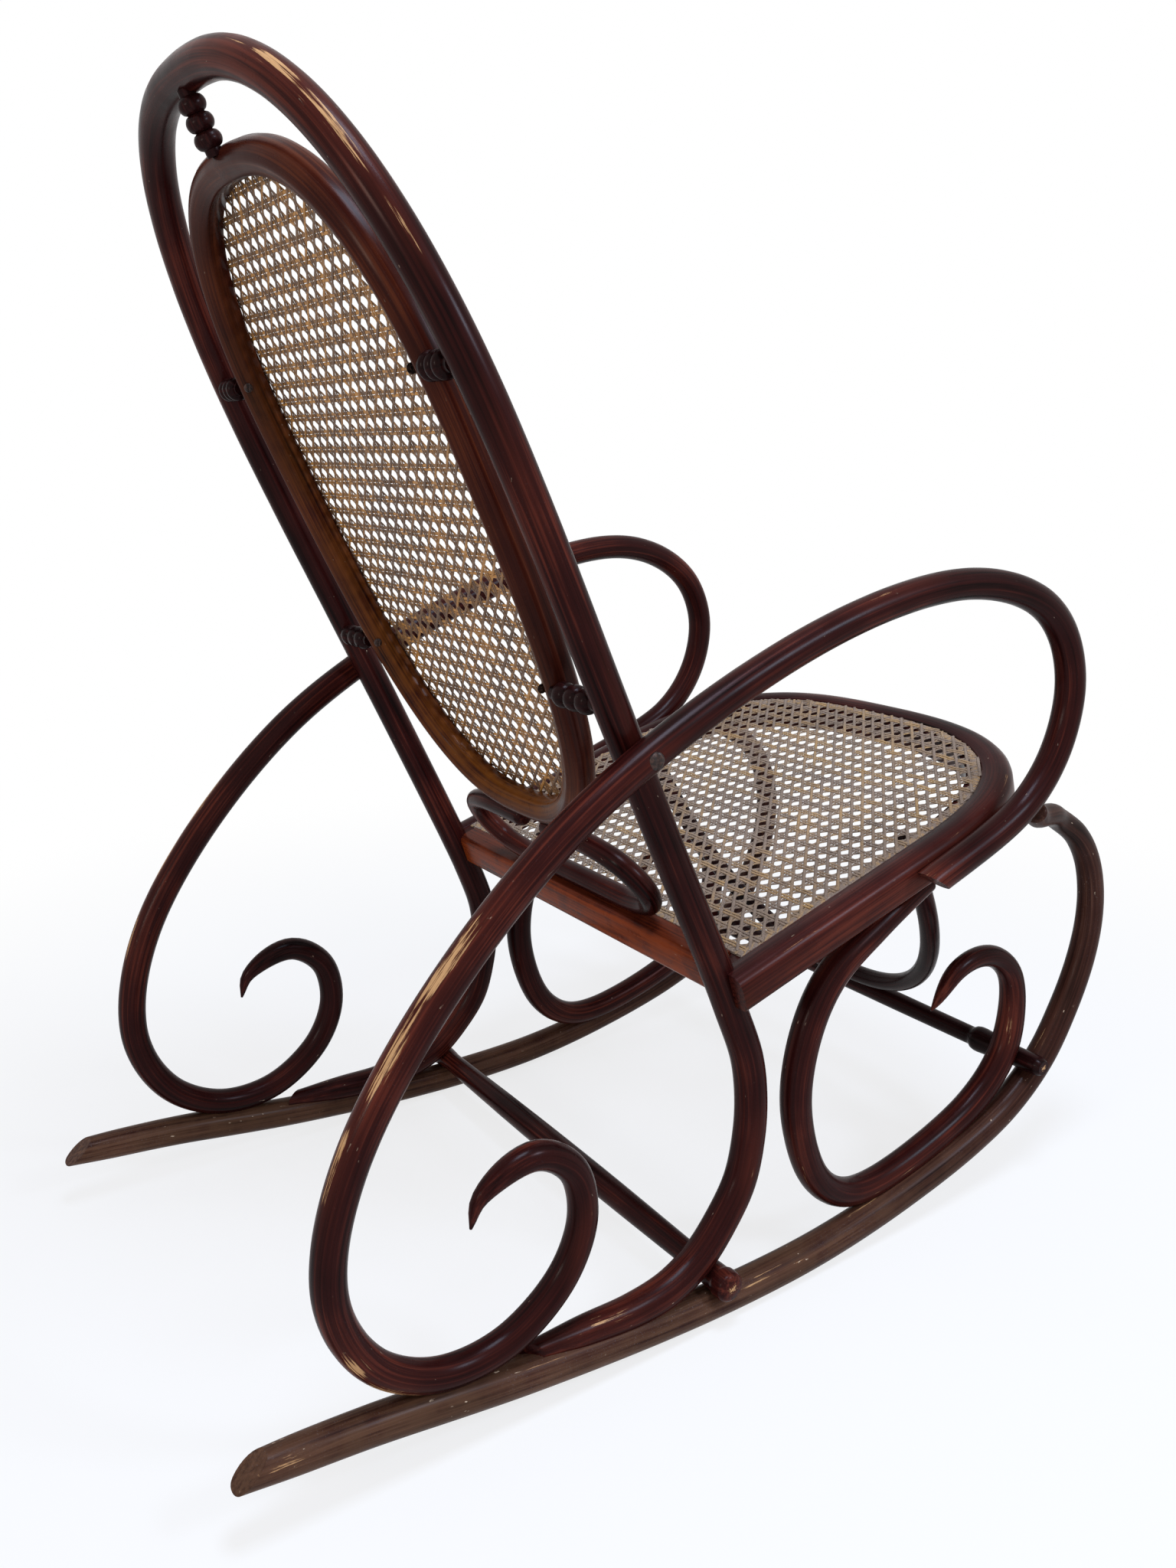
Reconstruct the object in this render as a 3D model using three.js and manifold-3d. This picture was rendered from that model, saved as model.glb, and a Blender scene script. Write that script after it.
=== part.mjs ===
// A bentwood rocking chair: steam-bent beech rods, turned spindles and woven cane panels.
// Millimetres. X runs across the chair, the sitter faces -Y and +Z is up.
import * as THREE from "three";
import { mergeVertices } from "three/addons/utils/BufferGeometryUtils.js";
import Module from "manifold-3d";

const wasm = await Module();
wasm.setup();

// Overall sizes
const chairLength = 950; // rear tips of the runners to the front of their curls
const seatWidth = 522; // the widths of the other pieces follow from it
const clearance = 0.3; // left between pieces that touch
const bite = 2; // how far a rod is let into the one that it rests on
const overrun = 60; // how far a cutting solid passes the piece that it cuts
const shortReach = 2; // points over which the path of a rod eases back from a moved point
const middleReach = 3;
const longReach = 4;

// Runners
const runnerInset = 11; // outer side of the seat to a runner's centreline
const runnerSpacing = seatWidth - 2 * runnerInset;
const runnerDiameter = 31;
const runnerRise = 402; // ground to the crown of the front curl, on the centreline
const runnerTipBevel = 24; // length of the slope on top of the rear tip
const runnerShares = [
  [0.012, 0.108], [0.124, 0.0945], [0.263, 0.06], [0.4, 0.0405], [0.5, 0.0395], [0.597, 0.055],
  [0.698, 0.097], [0.808, 0.169], [0.874, 0.239], [0.924, 0.338], [0.956, 0.458], [0.976, 0.572],
  [0.984, 0.677], [0.981, 0.771], [0.967, 0.861], [0.942, 0.935], [0.907, 0.987], [0.878, 1],
  [0.84, 1], [0.82, 1.01],
];
const runnerTaperShares = [[0, 0.76], [0.03, 0.9], [0.12, 1], [0.6, 1], [0.8, 0.9], [1, 0.68]];

// Back hoop with the rear legs, one rod
const hoopDiameter = 28;
const hoopHeight = 991; // ground to the crown of the hoop, on the centreline
const hoopCrownShare = 0.114; // place of the crown, as a share of the chair's length
const hoopRunShare = 0.3506; // crown forward to the legs at the seat, the same
const legInset = 30; // outer side of the seat to a leg's centreline
const legSpacing = seatWidth - 2 * legInset;
const hoopSwell = 5; // how far the hoop swells past each leg
const hoopWidth = legSpacing + 2 * hoopSwell; // widest, on the centreline
const hoopArchShare = 0.4526; // crown to the widest place, of the way to the seat
const hoopRoundness = 2.5;
const legScarf = 12; // depth of the long flat by which a leg lies on its runner
const legTaperShares = [[0, 1], [0.55, 1], [0.9, 1.08], [0.955, 0.95], [1, 0.5]];
const legBowShares = [
  [0.02, 0.872], [0.04, 0.722], [0.0455, 0.603], [0.0434, 0.494], [0.033, 0.369], [0.011, 0.272],
  [-0.018, 0.187],
];
const legTailShares = [[0.41, 0.12], [0.37, 0.8], [0.318, 1], [0.252, 1.2]];
const legTipBevel = 26;
const legTailInset = 3; // from the runner's centreline in to the leg's, where they meet
const legRestShare = 0.318; // place on the runner, as a share of the chair's length
const legStraightShares = [[0, 0], [0.33, 0.5], [0.67, 1], [1, 1]]; // down to the seat, in to the legs

// Arms, each one rod from the seat over the leg to a scroll on the runner
const armDiameter = 27;
const armHeight = 635; // ground to the top of the arm, on the centreline
const armTipDiameter = 13;
const armShares = [
  [0.696, 0.598], [0.816, 0.678], [0.857, 0.755], [0.866, 0.845], [0.844, 0.925], [0.795, 0.978],
  [0.704, 1], [0.525, 0.934], [0.274, 0.725], [0.115, 0.433], [0.0865, 0.248], [0.117, 0.137],
  [0.172, 0.084], [0.236, 0.091], [0.29, 0.15], [0.312, 0.223], [0.307, 0.292], [0.288, 0.325],
  [0.265, 0.339], [0.239, 0.331], [0.207, 0.289],
];
const armTaperShares = [[0, 1.08], [0.2, 1.04], [0.6, 1], [0.85, 0.93], [0.95, 0.8], [1, 0]];
const armOverShares = [0, 0, 0, 0, 0, 0, 0.5, 1, 1]; // from the seat's side over to the leg's side
const armOverrunShare = 0.25; // how far the path runs on past its first point
const armSeatShare = 0.467; // how far along the seat the arm ends
const armDropShare = 0.55; // place of its end in the thickness of the seat, from the top down
const armEndBevel = THREE.MathUtils.degToRad(50); // slope of its cut end to the seat
const armBolt = { head: 7, crown: 3.5, shank: 3 };

// Front scrolls under the seat
const scrollDiameter = 29;
const scrollTopDiameter = 20;
const scrollInset = 10; // a runner's centreline to that of the scroll on it
const scrollSpacing = runnerSpacing - 2 * scrollInset;
const scrollTopShare = 0.514; // how far along the seat the scroll ends
const scrollTopInset = 19; // from the outer side of the seat to the scroll's upper end
const scrollRestShare = 0.688; // place on the runner, as a share of the chair's length
const scrollLowShare = 0.5; // place of that rest along the scroll itself
const scrollShares = [
  [0.72, 0.888], [0.657, 0.81], [0.6, 0.722], [0.572, 0.604], [0.565, 0.433], [0.595, 0.241],
  [0.636, 0.164], [0.688, 0.154], [0.825, 0.261], [0.872, 0.373], [0.88, 0.5], [0.868, 0.592], [0.84, 0.647],
  [0.809, 0.659], [0.778, 0.634], [0.75, 0.55],
];
const scrollTaperShares = [[0, 0], [0.14, 1.1], [0.3, 1], [0.5, 0.86], [0.75, 1], [0.88, 0.3], [1, -0.5]];

// Seat, laid out in its own plane from the rear face forward
const seatDepthShare = 0.4916;
const seatDepth = Math.round(chairLength * seatDepthShare);
const seatThickness = 34;
const seatRearHeight = 320; // ground to the rear top edge
const seatTilt = THREE.MathUtils.degToRad(19);
const seatRailWidth = 40;
const seatFrontRoundShare = 0.4925; // of the depth, over which the sides draw in to the front
const seatFrontRound = seatDepth * seatFrontRoundShare;
const seatFrontRoundness = 2.8;
const seatEdgeRound = 7;
const rearRailWidth = 38;
const legNotch = 13; // how deep the legs are let into the seat frame

// Cane panels
const caneThickness = 2.5;
const caneLap = 14; // width of rail that the cane covers
const canePitch = 47; // between the centres of neighbouring gaps
const caneGap = 29; // across the corners of a gap
const caneGapCorners = 6;
const caneMarginShare = 0.6; // from a rail to the middle of the nearest gap, as a share of the gap

// Oval back frame, laid out in the lean of the hoop
const ovalTop = 50; // crown of the hoop to the top of the oval, along the lean
const ovalSideGap = 33; // inner side of the hoop to the oval, at the widest place
const ovalWidth = hoopWidth - hoopDiameter - 2 * ovalSideGap;
const ovalUpperShare = 0.3177; // top to the widest place, of the way from the crown to the seat
const ovalSeatGap = 94; // bottom of the oval to the rear edge of the seat, along the lean
const ovalUpperRoundness = 2.5;
const ovalLowerRoundness = 2.7;
const ovalRadial = 25;
const ovalDepth = 27;
const ovalForward = 3; // how far its middle plane stands in front of the hoop's
const ovalRebate = 7.5;
const ovalRebateDepth = 4;
const ovalSoftEdge = 5;

// Turned spacers and spindle between the hoop and the oval
const beadDiameter = 21;
const beadNeck = 15;
const beadCount = 3;
const beadShares = [0, 0.15, 0.5, 0.85]; // where a bead's profile has its points
const beadTenonShare = 0.25; // how far a row of beads runs into the oval, as a share of its width
const spacerShares = [0.298, 0.645]; // places of the spacers, from the crown down to the seat
const spacerBack = 7; // how far the beads stand behind the hoop's middle plane

// Bows
const rearBowDiameter = 20.5;
const rearBowWidth = 284;
const rearBowShares = [
  [0, 0], [0.35, 0], [0.68, 0.02], [0.91, 0.17], [1, 0.5], [0.91, 0.83], [0.68, 0.98], [0.4, 1],
  [0.17, 0.99],
];
const frontBowDiameter = 20;
const frontBowInset = 63; // outer side of the seat to the ends of the bow under the side rails
const frontBowWidth = seatWidth - 2 * frontBowInset;
const frontBowRoundness = 2.4;
const frontBowTopShare = 0.565; // how far along the seat it ends
const frontBowTenon = 12; // length of its ends inside the side rails
const rearBowScrewShare = 0.2;
const rearBowTipShare = 0.12;

// Turned stretchers
const stretcherOverhang = 10; // how far a stretcher passes the outer side of the runners
const frontStretcherDiameter = 21;
const frontStretcherShares = [
  [0, 1], [0.66, 0.94], [0.675, 0.94], [0.685, 1.2], [0.72, 1.3], [0.8, 1.12], [0.87, 1], [0.955, 1],
  [0.985, 0.95], [1, 0.7],
];
const rearStretcherDiameter = 24;
const rearStretcherShares = [
  [0, 1.08], [0.4, 1.04], [0.7, 0.94], [0.84, 0.9], [0.88, 1], [0.94, 1.04], [0.945, 1.16],
  [0.985, 1.12], [1, 0.8],
];

// Fasteners
const woodScrew = { head: 4, crown: 2, shank: 1.8 };
const smallScrew = { head: 3.2, crown: 1.6, shank: 1.4 };
const screwCrownShare = 0.6; // width of the flat on top of a head
const screwBrimShare = 0.4; // height of a head's widest place
const screwSink = 1.2; // how deep a head is let in
const soleSink = 5; // the same under the runners, clear of the ground
const dowelDiameter = 9;
const dowelLength = 44;
const dowelInLeg = 18;
const armScrewBack = 22; // from the end of the arm to its screw
const armRestShare = 0.172;
const scrollScrewShare = 0.02;
const runnerNailShare = 0.988;
const screwHold = 11; // length of thread in the last piece

// How finely round things are divided
const rodSides = 10;
const slimSides = 8;
const turnedSides = 8;
const screwSides = 6;
const fineSteps = 720;
const stationTurn = THREE.MathUtils.degToRad(16);
const stationRun = 74;
const endRound = 2;
const archSteps = 8;
const ovalSteps = 44;
const mergeWithin = 1e-4;

// Weights in grams for a cubic millimetre
const beech = 0.00068;
const cane = 0.00035;
const steel = 0.00785;

const across = new THREE.Vector3(1, 0, 0);

// A place given across, forward of the rear tips and up from the ground.
function place(x, forward, up) {
  return new THREE.Vector3(x, -forward, up);
}

// The value of a table of [share, factor] rows at a share, on straight lines between rows.
function along(table, share) {
  const next = table.findIndex(([at]) => at >= share);
  if (next <= 0) return table.at(next)[1];
  const [from, low] = table[next - 1];
  const [to, high] = table[next];
  return low + ((high - low) * (share - from)) / (to - from);
}

// Places from a table of shares of a length and a height.
function spread(shares, x, length, height) {
  return shares.map(([f, h]) => place(x, f * length, h * height));
}

// Moves one point of a path to its seat, and its neighbours less and less over a reach of points.
function pin(path, index, target, reach) {
  const shift = target.clone().sub(path[index]);
  path.forEach((point, i) => {
    const share = Math.max(0, 1 - Math.abs(i - index) / reach);
    point.addScaledVector(shift, share);
  });
}

// Stations along a smooth path, close where it bends and far apart where it runs straight.
function trace(points, firstNormal, radiusAt) {
  const curve = new THREE.CatmullRomCurve3(points);
  curve.arcLengthDivisions = fineSteps;
  const fine = curve.getSpacedPoints(fineSteps);
  const step = curve.getLength() / fineSteps;
  const normal = firstNormal.clone();
  const stations = [];
  let last = null;
  let turned = 0;
  let run = 0;
  fine.forEach((point, i) => {
    const ahead = fine[Math.min(i + 1, fineSteps)];
    const tangent = ahead.clone().sub(fine[Math.max(i - 1, 0)]).normalize();
    normal.addScaledVector(tangent, -normal.dot(tangent)).normalize();
    turned += last ? tangent.angleTo(last) : 0;
    run += step;
    last = tangent;
    if (i > 0 && i < fineSteps && turned < stationTurn && run < stationRun) return;
    const share = i / fineSteps;
    stations.push({ point, tangent, normal: normal.clone(), radius: radiusAt(share) });
    turned = 0;
    run = 0;
  });
  return stations;
}

// A rod that is alike on both hands, from the stations of one half, which start at x = 0.
function bothHands(half) {
  const flip = (v) => new THREE.Vector3(-v.x, v.y, v.z);
  const other = half.slice(1).map((s) => ({
    point: flip(s.point),
    tangent: flip(s.tangent).negate(),
    normal: flip(s.normal),
    radius: s.radius,
  }));
  return [...other.reverse(), ...half];
}

// The corners of a rod's section at a station, moved along the rod and grown.
function sectionRing(station, sides, shift, grow) {
  const { point, tangent, normal } = station;
  const centre = point.clone().addScaledVector(tangent, shift);
  const binormal = tangent.clone().cross(normal);
  const corner = (station.radius + grow) / Math.cos(Math.PI / sides);
  return Array.from({ length: sides }, (_, k) => {
    const angle = ((k + 0.5) / sides) * 2 * Math.PI;
    return centre
      .clone()
      .addScaledVector(binormal, corner * Math.cos(angle))
      .addScaledVector(normal, corner * Math.sin(angle));
  });
}

// A closed skin over rings of corners, with a flat cap at each end, or joined end to end.
function skin(rings, closed) {
  const sides = rings[0].length;
  const points = rings.flat();
  const triangles = [];
  const joins = closed ? rings.length : rings.length - 1;
  for (let i = 0; i < joins; i++) {
    const here = i * sides;
    const there = ((i + 1) % rings.length) * sides;
    for (let k = 0; k < sides; k++) {
      const next = (k + 1) % sides;
      triangles.push(here + k, there + next, there + k);
      triangles.push(here + k, here + next, there + next);
    }
  }
  if (!closed) {
    for (let k = 1; k < sides - 1; k++) {
      triangles.push(0, k + 1, k);
      const end = points.length - sides;
      triangles.push(end, end + k, end + k + 1);
    }
  }
  const geometry = new THREE.BufferGeometry().setFromPoints(points);
  return geometry.setIndex(triangles);
}

// A solid from a closed geometry, turned outside out where its faces point in.
function solidFrom(geometry, matrix = new THREE.Matrix4()) {
  const bare = new THREE.BufferGeometry();
  bare.setAttribute("position", geometry.getAttribute("position").clone());
  bare.setIndex(geometry.getIndex());
  const merged = mergeVertices(bare.applyMatrix4(matrix), mergeWithin);
  const corners = merged.index.array;
  const facesIn = signedVolume(merged) < 0;
  const kept = [];
  for (let i = 0; i < corners.length; i += 3) {
    const [a, b, c] = corners.slice(i, i + 3);
    if (a === b || b === c || c === a) continue;
    kept.push(a, facesIn ? c : b, facesIn ? b : c);
  }
  const vertProperties = merged.attributes.position.array;
  const triVerts = new Uint32Array(kept);
  return new wasm.Manifold(new wasm.Mesh({ numProp: 3, vertProperties, triVerts }));
}

function signedVolume(geometry) {
  const at = (i) => new THREE.Vector3().fromBufferAttribute(geometry.attributes.position, i);
  const corners = geometry.index.array;
  let sum = 0;
  for (let i = 0; i < corners.length; i += 3) {
    const [a, b, c] = [at(corners[i]), at(corners[i + 1]), at(corners[i + 2])];
    sum += a.dot(b.cross(c)) / 6;
  }
  return sum;
}

function rodSolid(rod, grow = 0) {
  const { stations, sides } = rod;
  const rings = stations.map((s) => sectionRing(s, sides, 0, grow));
  rings.unshift(sectionRing(stations[0], sides, -endRound - grow, grow - endRound));
  rings.push(sectionRing(stations.at(-1), sides, endRound + grow, grow - endRound));
  return solidFrom(skin(rings, false));
}

// The largest body that is left of a solid after the tools have cut it.
function trimmed(solid, ...tools) {
  const left = tools.reduce((rest, tool) => rest.subtract(tool), solid);
  return left.decompose().reduce((a, b) => (b.volume() > a.volume() ? b : a));
}

// A half space as a large block whose face passes through a point and looks along a direction.
function beyond(point, direction) {
  const size = 2 * overrun;
  const block = new THREE.BoxGeometry(size, size, size).translate(0, 0, overrun);
  const turn = new THREE.Quaternion().setFromUnitVectors(new THREE.Vector3(0, 0, 1), direction);
  return solidFrom(block, new THREE.Matrix4().compose(point, turn, new THREE.Vector3(1, 1, 1)));
}

// The centreline of a rod on straight lines between its stations, as many close points.
function closePoints(stations) {
  const points = stations.map((s) => s.point);
  return new THREE.CatmullRomCurve3(points).getSpacedPoints(fineSteps);
}

// Planes of the seat and the back

const hoopLean = Math.atan2(hoopRunShare * chairLength, hoopHeight - seatRearHeight);
const leanLength = (hoopHeight - seatRearHeight) / Math.cos(hoopLean);
const leanDown = new THREE.Vector3(0, -Math.sin(hoopLean), -Math.cos(hoopLean));
const leanForward = new THREE.Vector3(0, -Math.cos(hoopLean), Math.sin(hoopLean));
const crown = place(0, hoopCrownShare * chairLength, hoopHeight);
const backFrame = new THREE.Matrix4()
  .makeBasis(across.clone().negate(), leanDown, leanForward)
  .setPosition(crown);

function backPoint(x, down, forward = 0) {
  return new THREE.Vector3(-x, down, forward).applyMatrix4(backFrame);
}

const seatForward = new THREE.Vector3(0, -Math.cos(seatTilt), Math.sin(seatTilt));
const seatUp = new THREE.Vector3(0, Math.sin(seatTilt), Math.cos(seatTilt));
const legAtSeat = crown.clone().addScaledVector(leanDown, leanLength);
const seatFrame = new THREE.Matrix4()
  .makeBasis(across.clone().negate(), seatForward, seatUp)
  .setPosition(legAtSeat.clone().addScaledVector(seatForward, hoopDiameter / 2 - legNotch));

function seatPoint(x, forward, up) {
  return new THREE.Vector3(-x, forward, up).applyMatrix4(seatFrame);
}

const hoopArch = leanLength * hoopArchShare;
const ovalUpper = leanLength * ovalUpperShare;
const ovalBottom = leanLength - ovalSeatGap;
const ovalLower = ovalBottom - ovalTop - ovalUpper;

// Half the width of an arch of some roundness at a drop below its crown.
function archHalf(half, rise, roundness, drop) {
  const left = Math.min(1, Math.max(0, (rise - drop) / rise));
  return half * (1 - left ** roundness) ** (1 / roundness);
}

function seatHalf(forward) {
  return archHalf(seatWidth / 2, seatFrontRound, seatFrontRoundness, seatDepth - forward);
}

function hoopHalf(down) {
  return archHalf(hoopWidth / 2, hoopArch, hoopRoundness, down);
}

// Runners

function runnerPath(side) {
  return spread(runnerShares, (side * runnerSpacing) / 2, chairLength, runnerRise);
}

function runnerRadius(share) {
  return (runnerDiameter / 2) * along(runnerTaperShares, share);
}

const sole = trace(runnerPath(1), across, runnerRadius);

// A place over the runner, a distance from its centreline.
function overRunner(x, forward, distance) {
  const points = closePoints(sole);
  const i = points.findIndex((p) => -p.y >= forward);
  const run = points[i + 1].clone().sub(points[i - 1]).normalize();
  const rise = new THREE.Vector3(0, run.z, -run.y);
  const target = points[i].clone().addScaledVector(rise, distance);
  return target.setX(x);
}

// The place in front of a rising rod where a round bar touches both it and the runner under it.
function crotch(wall, wallRadius, radius) {
  const floorPath = closePoints(sole);
  const wallPath = closePoints(wall);
  let best = null;
  for (let i = 1; i < fineSteps; i++) {
    const run = floorPath[i + 1].clone().sub(floorPath[i - 1]).normalize();
    const rise = new THREE.Vector3(0, run.z, -run.y);
    if (rise.z < 0) rise.negate();
    const centre = floorPath[i].clone().addScaledVector(rise, runnerDiameter / 2 + radius - bite);
    const gap = wallPath.reduce((least, p) => {
      return Math.min(least, Math.hypot(p.y - centre.y, p.z - centre.z));
    }, Infinity);
    const miss = Math.abs(gap - (wallRadius + radius - bite));
    const inFront = wallPath.every((p) => Math.abs(p.z - centre.z) > radius || p.y > centre.y);
    if (inFront && (!best || miss < best.miss)) best = { miss, centre, rise };
  }
  return best;
}

// Arms

function armPath(side) {
  const radius = armDiameter / 2;
  const crossing = legSpacing / 2 + hoopDiameter / 2 + radius - bite;
  const rest = runnerSpacing / 2;
  const endAlong = armSeatShare * seatDepth;
  const front = seatHalf(endAlong) + radius * armTaperShares[0][1] - bite;
  const path = spread(armShares, 0, chairLength, armHeight);
  const overs = armOverShares.map((share) => THREE.MathUtils.lerp(front, crossing, share));
  overs.push((crossing + rest) / 2);
  path.forEach((p, i) => p.setX(overs[i] ?? rest));
  path.unshift(path[0].clone().lerp(path[1], -armOverrunShare));
  pin(path, 1, seatPoint(front, endAlong, -armDropShare * seatThickness), middleReach);
  const low = path.findIndex((p) => p.z === Math.min(...path.map((q) => q.z)));
  pin(path, low, overRunner(rest, -path[low].y, (runnerDiameter + armDiameter) / 2 - 2 * bite), longReach);
  path.forEach((p) => p.setX(side * p.x));
  return path;
}

function armRadius(share) {
  const slim = armTipDiameter / 2;
  return slim + (armDiameter / 2 - slim) * along(armTaperShares, share);
}

// Front scrolls

function scrollPath(side) {
  const rest = scrollSpacing / 2;
  const endAlong = scrollTopShare * seatDepth;
  const top = seatHalf(endAlong) - scrollTopInset;
  const path = spread(scrollShares, rest, chairLength, runnerRise);
  const under = -seatThickness - scrollTopDiameter / 2 + bite;
  pin(path, 0, seatPoint(top, endAlong, under), shortReach);
  const low = path.findIndex((p) => p.z === Math.min(...path.map((q) => q.z)));
  const touch = (runnerDiameter + scrollDiameter * along(scrollTaperShares, scrollLowShare)) / 2 - 2 * bite;
  const over = Math.sqrt(touch ** 2 - ((runnerSpacing - scrollSpacing) / 2) ** 2);
  pin(path, low, overRunner(rest, scrollRestShare * chairLength, over), longReach);
  path.forEach((p) => p.setX(side * p.x));
  return path;
}

function scrollRadius(share) {
  const slim = scrollTopDiameter / 2;
  return slim + (scrollDiameter / 2 - slim) * along(scrollTaperShares, share);
}

// Back hoop and legs, from the crown down one side

function hoopPath() {
  const arch = [];
  for (let i = 0; i < archSteps; i++) {
    const angle = (Math.PI / 2) * (1 - i / archSteps);
    const x = (hoopWidth / 2) * Math.cos(angle) ** (2 / hoopRoundness);
    arch.push(backPoint(x, hoopArch * (1 - Math.sin(angle) ** (2 / hoopRoundness))));
  }
  const toSeat = crown.distanceTo(legAtSeat);
  const straight = legStraightShares.map(([down, inward]) => {
    const x = THREE.MathUtils.lerp(hoopWidth, legSpacing, inward) / 2;
    return backPoint(x, THREE.MathUtils.lerp(hoopArch, toSeat, down));
  });
  const foot = runnerSpacing / 2 - legTailInset;
  const bow = legBowShares.map(([f, h], i) => {
    const x = THREE.MathUtils.lerp(legSpacing / 2, foot, i / legBowShares.length);
    return place(x, -legAtSeat.y + f * chairLength, h * seatRearHeight);
  });
  const tail = legTailShares.map(([f, sunk]) => {
    const distance = (runnerDiameter + hoopDiameter) / 2 - legScarf * sunk;
    return overRunner(foot, f * chairLength, distance);
  });
  return [...arch, ...straight, ...bow, ...tail];
}

function hoopRadius(share) {
  return (hoopDiameter / 2) * along(legTaperShares, share);
}

// Bows

function rearBowPath() {
  const radius = rearBowDiameter / 2;
  const low = seatPoint(0, rearRailWidth / 2, radius - bite / 2);
  const high = backPoint(0, ovalBottom + radius - bite, ovalForward);
  const rise = high.clone().sub(low);
  return rearBowShares.map(([x, up]) => {
    return low.clone().addScaledVector(rise, up).setX((x * rearBowWidth) / 2);
  });
}

function frontBowPath(foot, top) {
  const rise = top.clone().sub(foot);
  const path = [];
  for (let i = 0; i <= archSteps; i++) {
    const angle = (Math.PI / 2) * (i / archSteps);
    const x = (frontBowWidth / 2) * Math.sin(angle) ** (2 / frontBowRoundness);
    const up = 1 - Math.cos(angle) ** (2 / frontBowRoundness);
    path.push(foot.clone().addScaledVector(rise, up).setX(x));
  }
  return path;
}

// Turned pieces

// A turned solid whose profile [radius, distance] runs from a point along a direction.
function turned(profile, from, direction, sides = turnedSides) {
  const outline = profile.map(([radius, distance]) => new THREE.Vector2(radius, distance));
  const lathe = new THREE.LatheGeometry(outline, sides);
  const turn = new THREE.Quaternion().setFromUnitVectors(new THREE.Vector3(0, 1, 0), direction);
  return solidFrom(lathe, new THREE.Matrix4().compose(from, turn, new THREE.Vector3(1, 1, 1)));
}

// A row of round beads between two lengths, with plain ends that run into the rods.
function beads(from, direction, start, length, end) {
  const neck = beadNeck / 2;
  const swell = (beadDiameter - beadNeck) / 2;
  const pitch = length / beadCount;
  const profile = [[0, 0], [neck, 0]];
  for (let i = 0; i < beadCount; i++) {
    for (const at of beadShares) {
      const bulge = Math.sqrt(Math.sin(Math.PI * at));
      profile.push([neck + swell * bulge, start + pitch * (i + at)]);
    }
  }
  profile.push([neck, start + length], [neck, start + length + end], [0, start + length + end]);
  return turned(profile, from, direction);
}

function stretcher(centre, diameter, shares) {
  const half = (runnerSpacing + runnerDiameter) / 2 + stretcherOverhang;
  const radius = diameter / 2;
  const right = shares.map(([at, wide]) => [radius * wide, half * at]);
  const left = right.slice(1).map(([r, at]) => [r, -at]).reverse();
  const profile = [[0, -half], ...left, ...right, [0, half]];
  return turned(profile, centre, across);
}

// Fasteners

function screwProfile(kind, length, sink, grow) {
  const { head, crown: dome, shank } = kind;
  const top = -dome + sink - grow;
  return [
    [0, top],
    [head * screwCrownShare + grow, top],
    [head + grow, sink - dome * screwBrimShare],
    [head + grow, sink + grow],
    [shank + grow, sink + grow],
    [shank + grow, length - shank + grow],
    [0, length + grow],
  ];
}

// A screw, and the bore that it needs in what it passes through.
function screw(kind, from, direction, length, sink = screwSink) {
  const bore = screwProfile(kind, length, sink, clearance);
  if (sink > kind.crown) bore.unshift([0, -overrun], [kind.head + clearance, -overrun]);
  if (sink > kind.crown) bore.splice(2, 2);
  return {
    solid: turned(screwProfile(kind, length, sink, 0), from, direction, screwSides),
    bore: turned(bore, from, direction, screwSides),
  };
}

function dowel(from, direction) {
  const radius = dowelDiameter / 2;
  const profile = (grow) => [
    [0, -grow],
    [radius + grow, -grow],
    [radius + grow, dowelLength + grow],
    [0, dowelLength + grow],
  ];
  return {
    solid: turned(profile(0), from, direction, screwSides),
    bore: turned(profile(clearance), from, direction, screwSides),
  };
}

// Seat frame and cane

// Points round the front of the seat from one side to the other, drawn in by an inset.
function frontLine(inset) {
  const half = seatWidth / 2 - inset;
  const round = seatFrontRound - inset;
  const points = [];
  for (let i = -archSteps; i <= archSteps; i++) {
    const angle = (Math.PI / 2) * (1 - Math.abs(i) / archSteps);
    const x = Math.sign(i) * half * Math.cos(angle) ** (2 / seatFrontRoundness);
    const y = seatDepth - seatFrontRound + round * Math.sin(angle) ** (2 / seatFrontRoundness);
    points.push(new THREE.Vector2(x, y));
  }
  return points;
}

function seatShape(inset, rear) {
  const half = seatWidth / 2 - inset;
  const corners = [new THREE.Vector2(half, rear), new THREE.Vector2(-half, rear)];
  return new THREE.Shape([...frontLine(inset), ...corners]);
}

function seatRail() {
  const inner = seatWidth / 2 - seatRailWidth;
  const corner = (x) => new THREE.Vector2(x, 0);
  const outline = [
    corner(-seatWidth / 2),
    ...frontLine(0),
    corner(seatWidth / 2),
    corner(inner),
    ...frontLine(seatRailWidth).reverse(),
    corner(-inner),
  ];
  const plank = new THREE.ExtrudeGeometry(new THREE.Shape(outline), {
    depth: seatThickness - 2 * seatEdgeRound,
    bevelThickness: seatEdgeRound,
    bevelSize: seatEdgeRound,
    bevelOffset: -seatEdgeRound,
    bevelSegments: 2,
  });
  return solidFrom(plank.translate(0, 0, seatEdgeRound - seatThickness), seatFrame);
}

function rearRail() {
  const half = seatWidth / 2 - seatRailWidth - clearance;
  const r = seatEdgeRound;
  const plank = new THREE.ExtrudeGeometry(
    new THREE.Shape([
      new THREE.Vector2(-half, r),
      new THREE.Vector2(half, r),
      new THREE.Vector2(half, rearRailWidth - r),
      new THREE.Vector2(-half, rearRailWidth - r),
    ]),
    {
      depth: seatThickness - 2 * r,
      bevelThickness: r,
      bevelSize: r,
      bevelSegments: 2,
    },
  );
  const ends = [half, -half].map((x) => {
    return beyond(seatPoint(x, rearRailWidth / 2, -seatThickness / 2), new THREE.Vector3(Math.sign(x), 0, 0));
  });
  return trimmed(solidFrom(plank.translate(0, 0, r - seatThickness), seatFrame), ...ends);
}

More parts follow.
